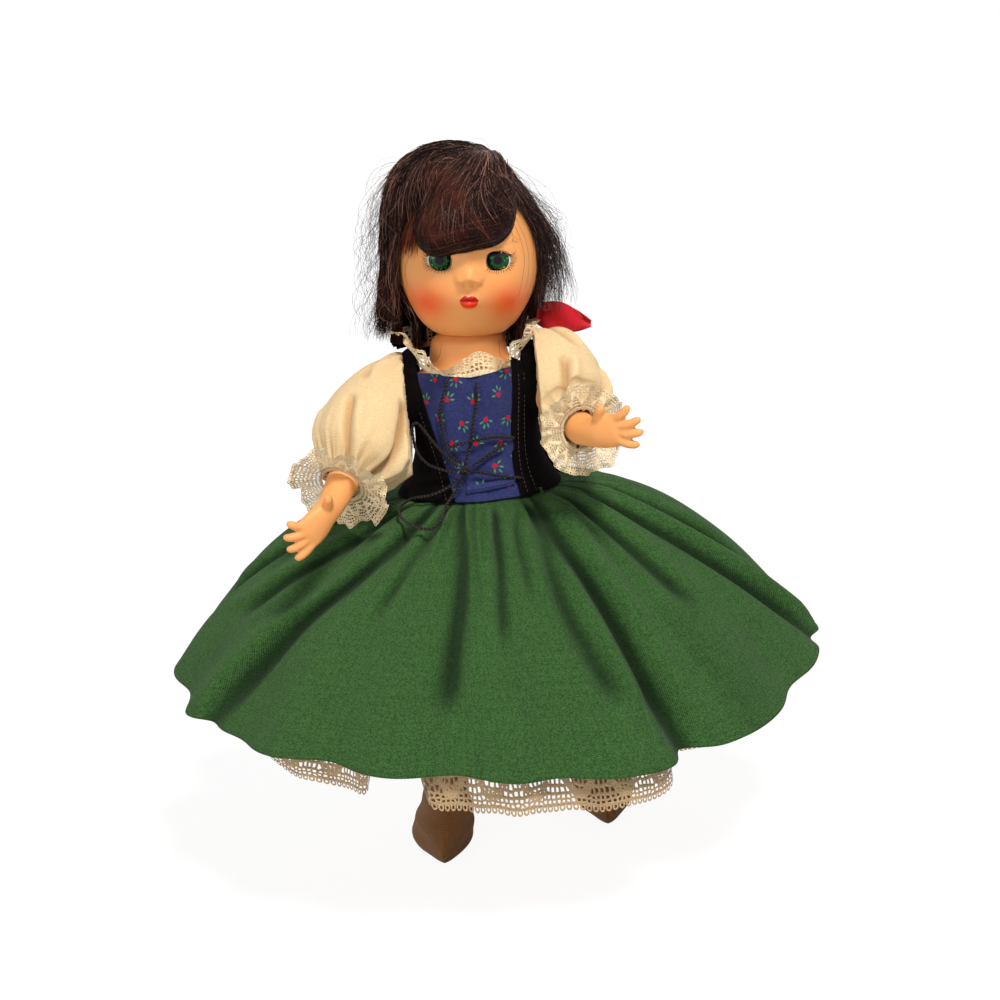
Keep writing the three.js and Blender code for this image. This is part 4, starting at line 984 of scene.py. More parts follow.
def makePrintPanel():
    # runs between two slanting edges from the waist to the neckline, with slight creases
    v, u = column(150), row(120)
    (right0, right1), (left0, left1) = bodice["printRight"], bodice["printLeft"]
    right = right0 + (right1 - right0) * v - 2.5
    left = left0 + (left1 - left0) * v + 2.5
    turn = right + (left - right) * u
    z = bodice["bottom"] + (bodice["printTop"] + 0.6 - bodice["bottom"]) * v
    across = np.radians(turn) * 16.6
    crease = 0.18 * np.sin(across * 0.9 + z * 0.25) + 0.12 * np.sin(z * 0.6 + across * 0.4)
    petal, leaf = printedMarks(*np.broadcast_arrays(across, z))
    piece = sheet("printedPanel", bodiceSurface(turn, z, 0.35 + crease), uvGrid(across, z),
                  attributes={"petal": petal, "leaf": leaf})
    thicken(piece, 0.5)
    return finish(piece, printedCotton, "torso", "bodice_front_panel", slot="print")


def velvetPanel(name, node, bottom, top, heights, grow=0.55, ridgeAt=None):
    # grid between two slanting edges, cut where the armhole's cylinder passes; ridges follow the panel's edge
    v, u = column(70), row(50)
    first = bottom[0] + (top[0] - bottom[0]) * v
    last = bottom[1] + (top[1] - bottom[1]) * v
    turn = first + (last - first) * u
    end = heights[0] + (heights[1] - heights[0]) * u
    z = bodice["bottom"] + (end - bodice["bottom"]) * v
    bulge = 0.3 * np.sin(np.radians(turn) * 3 + z * 0.18)
    if ridgeAt is not None:
        edge = last if ridgeAt < 0 else first
        off = np.abs(np.radians(turn - edge)) * 17
        for at in (0.5, 2.0, 4.3):
            bulge = bulge + 0.42 * bell((off - at) / 0.5)
    points = bodiceSurface(turn, z, grow + bulge)
    centre = (points[:-1, :-1] + points[1:, 1:]) / 2
    keep = np.hypot(centre[..., 1], centre[..., 2] - bodice["shoulderZ"]) > bodice["armhole"]
    keep |= np.abs(centre[..., 0]) < 6
    piece = sheet(name, points, uvGrid(np.radians(turn) * 17, z), keep=keep)
    thicken(piece, 0.7)
    return finish(piece, velvet, "torso", node, slot="velvet")


def makeArmholeBand(side, s):
    # velvet from the bodice's side out to the sleeve's seam, over the shoulder up to the collar
    t, v = circle(140), column(16)
    y, z = 9.3 * np.cos(t), bodice["shoulderZ"] + 9.0 * np.sin(t)
    w, front, back = curves(bodice["rows"], z)
    reach = np.where(y < 0, front, back) + 0.8
    x0 = (w + 0.8) * np.sqrt(np.maximum(1 - (y / reach) ** 2, 0.0))
    top = ease((np.sin(t) - 0.55) / 0.4)
    z0 = z + top * 4.6
    y0 = y * (1 + 0.22 * top)
    x0 = x0 * (1 - 0.12 * top)
    x = x0 + (bodice["sleeveSeam"] - x0) * v
    bulge = 0.5 * np.sin(np.pi * v)
    points = xyz(s * x, y0 + (y - y0) * v + bulge * np.cos(t),
                 z0 + (z + 3.2 * top - z0) * v + bulge * np.sin(t))
    piece = sheet(side + "ArmholeVelvet", points, uvGrid(row(141, 0, 58), v * 5), closed=True, flip=s > 0)
    return finish(piece, velvet, "torso", slot="velvet")


def bodiceEdge(turnPair, offset, grow, count):
    # line on the bodice at a set distance in mm beside a slanting edge of the printed panel
    v = np.linspace(0.02, 0.97, count)
    turn = turnPair[0] + (turnPair[1] - turnPair[0]) * v + np.degrees(offset / 17)
    z = bodice["bottom"] + (bodice["printTop"] - bodice["bottom"]) * v
    return bodiceSurface(turn, z, grow)


def makeStitches(name, lines, gap, length, radius, look, body, slot):
    # short threads along each line: a thin three-sided hair in five steps for each stitch
    parts = []
    for line in lines:
        run = runOf(line)
        for start in np.arange(0.3, run[-1] - length, gap):
            at = start + np.linspace(0, length, 5)
            parts.append(np.stack([np.interp(at, run, line[:, k]) for k in range(3)], axis=1))
    piece = strands(name, np.array(parts), np.full(len(parts), radius), np.linspace(0.2, 0.4, len(parts)),
                    (0, 0, 120), tip=0.8)
    return finish(piece, look, body, slot=slot)


pr, pl = bodice["printRight"], bodice["printLeft"]
makePrintPanel()
velvetPanel("velvetSideRight", "bodice_side_right", (-112, pr[0] - 0.7), (-112, pr[1] - 0.7), (137, 146),
            ridgeAt=-1)
velvetPanel("velvetSideLeft", "bodice_side_left", (pl[0] + 0.7, 112), (pl[1] + 0.7, 112), (146, 137),
            ridgeAt=1)
velvetPanel("velvetBackRight", "bodice_back_right", (174, 248), (174, 248), (143, 134.5))
velvetPanel("velvetBackLeft", "bodice_back_left", (112, 186), (112, 186), (134.5, 143), grow=2.6)


def stitchThread():
    made, tree, shader = material("stitchThread", 0.7, Sheen_Weight=0.2)
    grain = noise(place(tree), 1500.0, 2.0)
    fill(shader, Base_Color=tinted(grain, (20, 14, 12), (86, 72, 62)))
    return made


for side, s in bothSides.items():
    makeArmholeBand(side, s)
darkThread = stitchThread()
makeStitches("strapStitches",
             [bodiceEdge(pl, 1.7, 1.5, 60), bodiceEdge(pl, 4.0, 1.5, 60), bodiceEdge(pr, -1.7, 1.5, 60)],
             1.25, 0.8, 0.09, darkThread, "torso", "velvet")


def makeWaistBand():
    # folded blue band at the waist with two stitched edges: a flat strip with rolled borders
    turn, v = row(160, -10, 27), column(24)
    z = 110.4 + 0.03 * (turn - 6) + 2.1 * v
    roll = 0.35 * np.sin(np.pi * v) ** 0.5 + 0.25 * bell((v - 0.5) / 0.14)
    points = bodiceSurface(turn, z, 1.0 + roll + 0.06 * np.sin(np.radians(turn) * 60))
    across = np.radians(turn) * 17
    none = 0 * points[..., 0]
    piece = sheet("waistBand", points, uvGrid(across, z), attributes={"petal": none, "leaf": none})
    thicken(piece, 0.3)
    return finish(piece, printedCotton, "torso", slot="print")


makeWaistBand()

collar = {
    "rows": [(0, 142.4, 15.2, 13.9), (45, 143.8, 15.6, 13.4), (90, 147, 15.6, 12), (130, 148.2, 14.6, 11.2),
             (166, 147, 13.6, 11)],
    # lean outwards and height of the lace by turn, in mm
    "lean": [(-166, 1.0, 6), (-120, 1.5, 6.4), (-88, 4.0, 8.4), (-70, 4.6, 8.6), (-54, 1.4, 7.0),
             (-38, 3.0, 4.8), (-22, 3.4, 2.6), (-4, 0.4, 5.4), (8, -1.2, 6.6), (20, 0.0, 5.6), (34, 3.0, 3.0),
             (46, 2.0, 5.2), (58, 3.8, 7.4), (72, 4.4, 8), (86, 3.6, 7.4), (120, 1.5, 6), (166, 1, 5.6)],
}


def makeCollar():
    # lace that stands on the neckline: its base runs round the neck, its free edge leans out and ripples
    turn, v = row(640, -166, 166), column(20)
    z, w, d = curves(collar["rows"], np.abs(turn))
    out, height = curves(collar["lean"], turn)
    a = np.radians(turn)
    flute = 0.8 + 1.5 * ease((np.abs(turn) - 38) / 16)
    ripple = flute * np.sin(a * 12 + 0.9) * v**0.8 + 0.45 * np.sin(a * 41 + 1) * v**2
    off = out * v**1.5 + ripple
    rise = height * np.sqrt(v) * 0.3 + height * 0.7 * v
    points = xyz((w + off) * np.sin(a), -(d + off) * np.cos(a), z - 0.4 + rise)
    piece = sheet("collarLace", points, uvGrid(row(640, 0, 84), v * 6.9), flip=True)
    return finish(piece, collarLace, "torso", "collar_lace", slot="lace")


makeCollar()


def makeNeck():
    # smooth neck and shoulders over the moulded torso, up to the ball that the head turns on
    rows = [(140.5, 16, 12.4), (142.2, 14.2, 11.8), (143.6, 12.4, 11.2), (145, 11.4, 10.8), (147, 10.9, 10.5),
            (149.4, 10.5, 10.3), (151.2, 9.7, 9.7), (152.6, 7.4, 7.4), (153.6, 4.4, 4.4), (154.6, 1.2, 1.2)]
    t, z = circle(96), column(50, 140.5, 154.6)
    w, d = curves(rows, z)
    points = xyz(w * np.sin(t), -d * np.cos(t), z)
    return finish(sheet("neckSkin", points, closed=True), skin, "torso", slot="skin")


makeNeck()
print("bodice made")

arms = {
    "right": {
        "path": [(-18.6, -0.4, 135.2, 6.6, 6.6), (-22, -2.6, 133.4, 6.2, 6.2), (-27, -8.6, 129.4, 5.4, 5.4),
                 (-32.6, -17, 123.9, 4.9, 4.9), (-36.8, -25.6, 119, 4.5, 4.5), (-39.8, -33.4, 115, 3.7, 3.7),
                 (-42, -37.4, 113, 2.8, 4.1), (-44.4, -39.8, 110.8, 2.1, 4.6),
                 (-46.6, -41.4, 109.2, 1.7, 4.3), (-47.4, -42, 108.6, 0.7, 3)],
        "fingers": [((-45.8, -41, 111.8), (-51, -43.4, 113.4)), ((-46.4, -41.4, 110), (-52.2, -43.8, 109.8)),
                    ((-46.2, -41.2, 108.2), (-51.8, -43.2, 106.2)),
                    ((-45.4, -40.6, 106.6), (-50, -42.2, 103.2)), ((-41, -37.6, 114.6), (-40, -41.2, 119.2))],
        "sleeve": [(-16, 0.4, 137.2, 9, 9), (-19.4, -1.4, 136.6, 11.4, 11.6), (-24, -6, 133.4, 13.6, 14),
                   (-29, -12.6, 128.8, 14.2, 15), (-33.4, -19, 124, 12.6, 13.2),
                   (-36, -23.4, 120.6, 7.6, 7.6), (-36.9, -25.3, 119.1, 5.8, 5.8)],
        "cuff": ((-37.3, -26.4, 118.4), (-0.34, -0.8, -0.5), 14.2),
    },
    "left": {
        "path": [(18.6, -0.6, 135.3, 6.6, 6.6), (21.6, -4.2, 134.4, 6.2, 6.2), (24.6, -11.4, 132.2, 5.4, 5.4),
                 (27, -20, 129.6, 4.9, 4.9), (28.6, -28, 128.4, 4.4, 4.4), (30.4, -34, 128.6, 3.7, 3.7),
                 (32.6, -38.2, 129.4, 2.8, 4.1), (35.2, -40.6, 130.2, 2.1, 4.6), (37.4, -42, 130.8, 1.7, 4.3),
                 (38.2, -42.6, 131, 0.7, 3)],
        "fingers": [((36.6, -41.6, 133.6), (40.4, -44, 137)), ((37.2, -42, 131.8), (43, -44.6, 133.6)),
                    ((37.2, -42, 130), (43.6, -44.4, 130.2)), ((36.6, -41.6, 128.4), (42.4, -43.8, 126.6)),
                    ((32.4, -38.4, 131.6), (33.6, -41.6, 137))],
        "sleeve": [(16, 0.4, 136, 9.2, 10), (18.6, -1.2, 137.4, 11.2, 13.2), (21.8, -7, 138.4, 12.8, 14.4),
                   (24.6, -14, 134.6, 13, 14.6), (26.6, -20.4, 130.4, 11.4, 12.4),
                   (27.9, -25.2, 128.8, 7.4, 7.4), (28.5, -27.2, 128.4, 5.7, 5.7)],
        "cuff": ((28.8, -28.6, 128.4), (0.3, -0.95, 0.02), 12.4),
    },
    "fingerRadius": 1.25, "shoulder": 15.75, "bodiceSide": 18.4,
    # share of the finger's length, share of its radius there
    "fingerSteps": [(-0.45, 0.9), (-0.2, 1.0), (0.1, 1.0), (0.4, 0.98), (0.7, 0.94), (0.9, 0.84), (1.02, 0.6),
                    (1.08, 0.22)],
}


def ovalTube(path, count, sides, relief=0.0):
    # ovals square to a smooth path: half width lies level and half height stands up, both plus relief
    fine, length = pathThrough(path, count)
    forward = unit(np.gradient(fine[:, :3], axis=0))
    across = unit(np.cross(forward, (0, 0, 1)))
    rise = np.cross(across, forward)
    a = circle(sides)
    u = np.cos(a) * (fine[:, 3:4] + relief)
    v = np.sin(a) * (fine[:, 4:5] + relief)
    return fine[:, None, :3] + u[..., None] * across[:, None] + v[..., None] * rise[:, None], length


def joined(name, pieces):
    # several closed meshes as one object
    bpy.context.view_layer.update()
    work = bmesh.new()
    for piece in pieces:
        work.from_mesh(piece.data)
        bpy.data.objects.remove(piece)
    mesh = bpy.data.meshes.new(name)
    work.to_mesh(mesh)
    work.free()
    made = bpy.data.objects.new(name, mesh)
    bpy.context.scene.collection.objects.link(made)
    return made


def remeshed(piece, size, rounds):
    # one closed skin round all of them, then evened out
    work = piece.modifiers.new("Remesh", "REMESH")
    work.mode, work.voxel_size, work.use_smooth_shade = "VOXEL", size * 0.001, True
    even = piece.modifiers.new("Smooth", "SMOOTH")
    even.factor, even.iterations = 0.5, rounds
    bpy.context.view_layer.update()
    graph = bpy.context.evaluated_depsgraph_get()
    mesh = bpy.data.meshes.new_from_object(piece.evaluated_get(graph))
    piece.modifiers.clear()
    old = piece.data
    piece.data = mesh
    bpy.data.meshes.remove(old)
    mesh.name = piece.name
    mesh.polygons.foreach_set("use_smooth", np.ones(len(mesh.polygons), bool))
    return piece


def makeArm(side, s):
    # tapering tube from the shoulder to the palm, with a bent tube for each finger, remeshed as one skin
    data = arms[side]
    stub = [(s * (arms["shoulder"] + out), 0, bodice["shoulderZ"], r, r)
            for out, r in ((0, 6.1), (0.8, 6.5), (2.0, 6.6))]
    tubes = [ovalTube(stub + data["path"], 70, 40)[0]]
    for i, (start, end) in enumerate(data["fingers"]):
        thumb = i == 4
        thick = (1.2 if thumb else 1.0) * arms["fingerRadius"]
        start, end = np.array(start), np.array(end)
        bend = np.array([-0.4 * s, 0.0, 0.0]) if thumb else np.array([0, -0.5, -0.6])
        steps = [(*(start + (end - start) * t + bend * np.sin(np.pi * np.clip(t, 0, 1)) * 0.8), r * thick,
                  r * thick)
                 for t, r in arms["fingerSteps"]]
        tubes.append(ovalTube(steps, 24, 18)[0])
    pieces = [sheet("armTube", points, closed=True, ends=True, flip=True) for points in tubes]
    arm = remeshed(joined(side + "ArmSkin", pieces), 0.42, 5)
    return finish(arm, skin, side + "_arm", side + "_arm", slot="skin")


sleeveCreases = {
    # line through (share of the way to the cuff, angle round the sleeve), half width and depth in mm, ridge
    "right": [([(0.3, 3.6), (0.55, 3.9), (0.8, 4.2), (1, 4.3)], 1.7, 3.5, 0.6),
              ([(0.45, 4.6), (0.7, 4.8), (1, 4.9)], 1.4, 2.7, 0.6),
              ([(0.35, 2.6), (0.6, 3.0), (1, 3.4)], 1.6, 3.2, 0.5),
              ([(0.15, 5.2), (0.4, 5.5), (0.75, 5.5), (1, 5.4)], 1.9, 3.2, 0.5),
              ([(0.5, 1.6), (0.8, 1.9), (1, 2.1)], 1.5, 2.2, 0.5),
              ([(0.55, 0.6), (0.8, 0.5), (1, 0.4)], 1.4, 2.0, 0.5),
              ([(0, 3.2), (0.15, 3.4), (0.4, 3.2)], 1.8, 2.0, 0.5),
              ([(0, 4.4), (0.2, 4.3), (0.45, 4.6)], 1.6, 2.2, 0.5),
              ([(0, 1.2), (0.2, 1.4), (0.4, 1.7)], 1.5, 1.6, 0.5)],
    "left": [([(0.25, 5.9), (0.5, 5.5), (0.8, 5.2), (1, 5.1)], 1.7, 3.2, -0.6),
             ([(0.4, 4.9), (0.7, 4.6), (1, 4.5)], 1.5, 3.0, -0.6),
             ([(0.3, 4.0), (0.6, 3.8), (1, 3.7)], 1.6, 3.0, -0.5),
             ([(0.5, 0.4), (0.8, 0.2), (1, 0.1)], 1.5, 2.4, 0.5),
             ([(0.5, 1.5), (0.8, 1.3), (1, 1.2)], 1.5, 2.2, 0.5),
             ([(0.45, 2.6), (0.7, 2.5), (1, 2.4)], 1.5, 2.4, 0.5),
             ([(0, 5.4), (0.2, 5.2), (0.5, 5.6)], 1.7, 2.2, 0.5),
             ([(0, 4.2), (0.25, 4.4), (0.4, 4.2)], 1.6, 1.9, 0.5),
             ([(0, 2.0), (0.2, 1.8), (0.45, 2.0)], 1.6, 1.8, 0.5)],
}


def makeSleeve(side, s):
    # puffed sleeve: pleats run in from both seams, creases slant across, and its top closes to the armhole
    rows, cols = 100, 250
    a, v = circle(cols), column(rows)
    ends = np.exp(-v / 0.13) * 0.9 + 1.3 * np.exp(-(1 - v) / 0.13)
    pleats = np.sin(19 * a + 1.2 * np.sin(2 * a) + 3 * v) + 0.6 * np.sin(31 * a + 2 + 4 * np.sin(a))
    rumple = waves(a + 4 * v + 1.5 * np.sin(a + 3 * v), 11, 2, 5) * np.sin(np.pi * v)
    relief = valleys(a, v, sleeveCreases[side], 12.5, 2 * np.pi) + 0.35 * rumple + 0.38 * pleats * ends
    points, length = ovalTube(arms[side]["sleeve"], rows, cols, relief)
    # the part that would reach into the bodice lies against its side, drawn in towards the armhole
    edge = arms["bodiceSide"] + 0.1
    short = edge - points[..., 0] * s
    inside = short > 0
    pull = np.clip(short / 5.0, 0, 1)
    y, z = points[..., 1], points[..., 2] - bodice["shoulderZ"]
    far = np.maximum(np.hypot(y, z), 1e-6)
    goal = np.where(inside, far + (np.minimum(far, 9.2) - far) * ease(pull * 1.6), far)
    points[..., 1], points[..., 2] = y * goal / far, bodice["shoulderZ"] + z * goal / far
    frill = 0.35 * np.sin(a * 23) * (1 - pull) ** 2 * ease(short * 2)
    points[..., 0] = np.where(inside, s * (edge + frill), points[..., 0])
    hidden = (goal < 9.0) & inside
    keep = ~(hidden[:-1] & hidden[1:])
    # the folds carry painted shade for the cloth's colour
    piece = sheet(side + "SleeveCloth", points, uvGrid(row(cols + 1, 0, 84), v * length), closed=True,
                  flip=True, keep=keep, attributes={"hollow": np.clip(foldShadeOf(relief) * 1.3, 0, 1)})
    thicken(piece, 0.35)
    return finish(piece, ivoryCotton, None, side + "_sleeve", slot="ivory_cotton")


def makeCuff(side):
    # lace ruffle: a wavy ring that stands out from the cuff and curls at its edge
    centre, direction, reach = arms[side]["cuff"]
    forward = unit(np.array(direction, float))
    across = unit(np.cross(forward, (0, 0, 1)))
    rise = np.cross(across, forward)
    t, v = circle(700), column(20)
    wave = np.sin(8 * t + 0.7 * np.sin(3 * t)) + 0.45 * np.sin(21 * t + 2)
    far = 5.4 + (reach - 5.4) * v * (1 + 0.04 * np.sin(5 * t))
    forth = 0.3 + v * (1.6 + 1.5 * wave * v) + 0.5 * np.sin(30 * t) * v * (1 - v)
    points = (np.array(centre)
              + far[..., None] * (np.cos(t)[..., None] * across + np.sin(t)[..., None] * rise)
              + forth[..., None] * forward)
    uv = uvGrid(row(701, 0, 2 * np.pi * reach * 1.5), v * 8.4)
    piece = sheet(side + "CuffLace", points, uv, closed=True)
    return finish(piece, cuffLace, side + "_arm", side + "_cuff_lace", slot="lace")


for side, s in bothSides.items():
    makeArm(side, s)
    made = makeSleeve(side, s)
    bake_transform(made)
    makeCuff(side)
print("arms and sleeves made")

face = {
    "chinRise": 4.5, "width": 20, "front": 20.5, "back": 21, "height": 24,
    "eyeX": 7.8, "eyeY": -12.2, "eyeRise": 0.2, "eyeRadius": 5.6, "lidAngle": 19.5, "openWide": 6.5,
    "openHigh": 5.2,
    # bumps, on both sides: x, height over the middle, half width, half height, amount in mm outwards
    "bumps": [(0, 10.5, 12, 8, 0.8), (11.5, -10, 6.2, 5.6, 1.5), (0, -19.1, 5.4, 3.4, 1.7),
              (0, -11.3, 6, 4.6, 0.9), (0, -10.5, 2.6, 1.7, 0.9), (0, -3.7, 3.1, 2.7, 1.2),
              (0, -4.1, 2.0, 1.8, 1.55), (0, 0.6, 1.7, 3.6, 0.4), (13, -17, 6, 5, 0.8),
              (7.8, 0.3, 5, 3.8, -1.1), (2.5, -4.9, 1.15, 1.15, 0.95), (1.3, -6.2, 0.9, 0.5, -0.8),
              (4.1, -4.8, 0.9, 1.5, -0.3), (0, -6.6, 2.6, 0.8, -0.3), (0, -10.5, 2.0, 0.4, -0.5),
              (0, -11.8, 1.6, 1.0, 0.75), (1.0, -9.6, 0.9, 0.7, 0.5), (0, -8.0, 0.7, 1.0, -0.25),
              (0, -13.2, 2.4, 0.7, -0.35), (7.9, 4.3, 4.6, 0.5, -0.3)],
    "blush": [(-11.4, -11.8), (10.8, -11.6)], "blushWide": 5.4, "blushHigh": 4.8,
}
headZ = neckZ + face["chinRise"] + face["height"]


def headSurface(turn, rise, grow=0.0):
    # turn from the front, rise from the middle, in degrees: an egg, narrow at the jaw, with bell-shaped bumps
    turn, rise = np.broadcast_arrays(np.asarray(turn, float), np.asarray(rise, float))
    t, r = np.radians(turn), np.radians(rise)
    dx, dy, dz = np.cos(r) * np.sin(t), -np.cos(r) * np.cos(t), np.sin(r)
    z = headZ + (face["height"] + grow) * dz
    low = np.clip((headZ - 6.5 - z) / 17, 0, 1)
    jaw = 1 + 0.3 * low**4
    x = (face["width"] + grow) * dx * jaw
    y = (np.where(dy < 0, face["front"], face["back"]) + grow) * dy
    for bx, bz, wx, wz, amount in face["bumps"]:
        for at in (bx, -bx) if bx else (bx,):
            y = y - np.where(dy < 0, amount * -dy * bell((x - at) / wx, (z - headZ - bz) / wz), 0)
    return xyz(x, y, z)


def eyeShape(x, z, side):
    # distance from the middle of an eye's opening as a share of its rim, a rounded box
    a = (x - side * face["eyeX"]) / (face["openWide"] / 2)
    b = (z - headZ - face["eyeRise"]) / (face["openHigh"] / 2)
    return (np.abs(a) ** 2.5 + np.abs(b) ** 2.5) ** (1 / 2.5)


def makeHead():
    # the head's surface on a grid that is finest at eyes, nose and mouth, with marks for their paint
    turn = np.concatenate([np.arange(-74, -38, 1.1), np.arange(-38, -9, 0.62), np.arange(-9, 9, 0.42),
                           np.arange(9, 38, 0.62), np.arange(38, 75, 1.1), np.arange(78, 284, 4)])[None, :]
    rise = np.concatenate([np.linspace(-90, -72, 8), np.arange(-70, -33, 1.4), np.arange(-33, -19, 0.4),
                           np.arange(-19, -8, 0.6), np.arange(-8, 16, 0.52), np.arange(16, 34, 1.6),
                           np.linspace(37, 90, 16)])[:, None]
    points = headSurface(turn, rise)
    # ears: low swellings with a hollow, above the neck at each side
    side = np.where(fromFront(turn) > 0, 1.0, -1.0)
    off = fromFront(turn) - side * 86
    ear = 2.3 * bell(off / 5.5, (rise + 11) / 9) - 1.3 * bell((off - side) / 2.4, (rise + 10) / 5)
    points[..., 0] += side * ear
    points[..., 1] += 0.5 * ear
    x, z = points[..., 0], points[..., 2] - headZ
    frontSide = points[..., 1] < 0
    blush = 0
    for bx, bz in face["blush"]:
        blush = blush + bell((x - bx) / face["blushWide"], (z - bz) / face["blushHigh"])
    top = -10.7 + 2.05 * np.sqrt(np.maximum(1 - (x / 2.6) ** 2, 0)) ** 1.3 - 0.55 * bell(x / 0.62)
    bottom = -10.6 - 2.1 * np.sqrt(np.maximum(1 - (np.abs(x) / 2.45) ** 2.2, 0))
    lip = np.clip(0.5 + np.minimum(np.minimum(top - z, z - bottom), 2.55 - np.abs(x)) / 0.3, 0, 1) * frontSide
    mouth = np.clip(0.5 + (z + 10.5 + 0.2 * (np.abs(x) / 2.4) ** 2) / 0.4, 0, 1)
    mouth = np.maximum(mouth, np.clip((np.abs(x) - 1.7) / 0.8, 0, 1) * 0.7)
    near = np.minimum(eyeShape(x, points[..., 2], -1), eyeShape(x, points[..., 2], 1))
    lid = np.where(frontSide, np.clip(1 - np.abs(near - 1.02) / 0.09, 0, 1) * ease((z - 0.6) / 1.6), 0)
    # the grid's points just inside an opening move out to its rim, and the cells left inside go
    drop = np.zeros(x.shape, bool)
    for s in (-1, 1):
        shape = eyeShape(x, points[..., 2], s)
        inside = (shape < 1) & frontSide
        beside = [np.roll(~inside, (down, across), (0, 1)) for down in (-1, 0, 1) for across in (-1, 0, 1)]
        edge = inside & np.any(beside, axis=0)
        cx, cz = s * face["eyeX"], headZ + face["eyeRise"]
        grow = np.where(edge, 1 / np.maximum(shape, 0.3), 1)
        points[..., 0] = np.where(edge, cx + (points[..., 0] - cx) * grow, points[..., 0])
        points[..., 2] = np.where(edge, cz + (points[..., 2] - cz) * grow, points[..., 2])
        drop |= inside & ~edge
    neck = np.linalg.norm(points - np.array([0, 0, neckZ]), axis=-1) < 9.7
    drop |= neck
    cells = drop[:-1] | drop[1:]
    keep = ~(cells | np.roll(cells, -1, axis=1))
    piece = sheet("headSkin", lean(points), closed=True, keep=keep,
                  attributes={"blush": np.clip(blush, 0, 1), "lip": lip, "mouth": mouth, "lid": lid})
    thicken(piece, 0.75)
    return finish(piece, skin, "head", "head_front", "head_back", slot="skin")


def makeEye(name, node, s):
    # ball whose pole looks forward; the painted lid is everything above its edge
    radius = face["eyeRadius"]
    theta, spin = column(90, 0, np.pi), circle(96)
    x = radius * np.sin(theta) * np.cos(spin)
    z = radius * np.sin(theta) * np.sin(spin)
    y = -radius * np.cos(theta) + 0 * spin
    rise = np.arctan2(z, -y)
    lid = np.where(rise < np.radians(-60), -5, radius * (rise - np.radians(face["lidAngle"])))
    centre = np.array([s * face["eyeX"], face["eyeY"], headZ + face["eyeRise"]])
    points = lean(xyz(x, y, z) + centre)
    piece = sheet(name, points, uvGrid(row(97), theta * radius), closed=True, attributes={"lid": lid})
    return finish(piece, eyeFinish, "eyes", node, slot="eye")


def drawsFor(seed, count):
    # random numbers from a seed, and a function that draws one for each hair, by itself from 0 to a full turn
    r = np.random.default_rng(seed)
    return r, lambda low=0.0, high=6.28: r.uniform(low, high, (count, 1))


def combed(name, points, r, widths, look, tip=0.5, body="head", *nodes, slot="hair", scale=1.0):
    # one piece of many hairs that lean with the head, each with a radius and a shade of its own
    n = len(points)
    # hairs of one width draw nothing for it
    radius = np.full(n, widths[0]) if widths[0] == widths[1] else r.uniform(*widths, n) * scale
    piece = strands(name, lean(points), radius, r.random(n), (0, 0, headZ), tip=tip)
    return finish(piece, look, body, *nodes, slot=slot)


def lashMaterial():
    made, tree, shader = material("lash", 0.45, Specular_IOR_Level=0.5)
    grain = noise(place(tree), 900.0, 2.0)
    fill(shader, Base_Color=tinted(grain, (6, 5, 5), (40, 28, 24)))
    return made


lashBlack = lashMaterial()


def makeLashes():
    # lashes as short spikes: fixed ones fan out from the lower and outer rim, moving ones edge the lid
    r = np.random.default_rng(3)
    fixed = []
    half = np.array([face["openWide"], face["openHigh"]]) / 2
    for s in bothSides.values():
        for k, angle in enumerate(np.concatenate([np.linspace(24, -46, 9), np.linspace(-56, -140, 9)])):
            a = np.radians(angle + r.uniform(-2, 2))
            direction = np.array([s * np.cos(a), np.sin(a)])
            share = (np.abs(direction[0]) ** 2.5 + np.abs(direction[1]) ** 2.5) ** (-1 / 2.5)
            start = direction * share * half
            outer = k < 9
            reach = (2.0 if outer else 0.85) * r.uniform(0.75, 1.15)
            t = np.linspace(0, 1, 6)
            x = s * face["eyeX"] + start[0] + direction[0] * reach * t
            z = (face["eyeRise"] + start[1] + direction[1] * reach * t
                 + 0.35 * reach * (1 if outer else -0.2) * t * t)
            rise = np.degrees(np.arcsin(np.clip(z / face["height"], -1, 1)))
            turn = np.degrees(np.arcsin(np.clip(x / (face["width"] * np.cos(np.radians(rise))), -1, 1)))
            fixed.append(headSurface(turn, rise) - xyz(0, 0.1 + 0.5 * np.sin(t * 2.2), 0))
    combed("lowerLashes", np.array(fixed), r, (0.085, 0.085), lashBlack, 0.3, slot="lash")
    for side, s in bothSides.items():
        moving = []
        radius = face["eyeRadius"]
        for x in np.linspace(-3.4, 3.4, 30):
            a = np.radians(face["lidAngle"]) + r.uniform(-0.01, 0.01)
            out = np.sqrt(radius**2 - x**2)
            reach = r.uniform(0.5, 0.8)
            t = np.linspace(0, 1, 5)
            moving.append(xyz(s * face["eyeX"] + x * (1 + 0.05 * t),
                              face["eyeY"] - (out + 0.1 + 0.35 * t * reach) * np.cos(a - 0.12 * t),
                              headZ + face["eyeRise"] + (out + 0.1) * np.sin(a - 0.12 * t)))
        combed(side + "LidLashes", np.array(moving), r, (0.15, 0.15), lashBlack, 0.4, "eyes",
               side + "_lashes", slot="lash")


makeHead()
makeEye("rightEyeball", "right_eye", -1)
makeEye("leftEyeball", "left_eye", 1)
makeLashes()
print("head made")

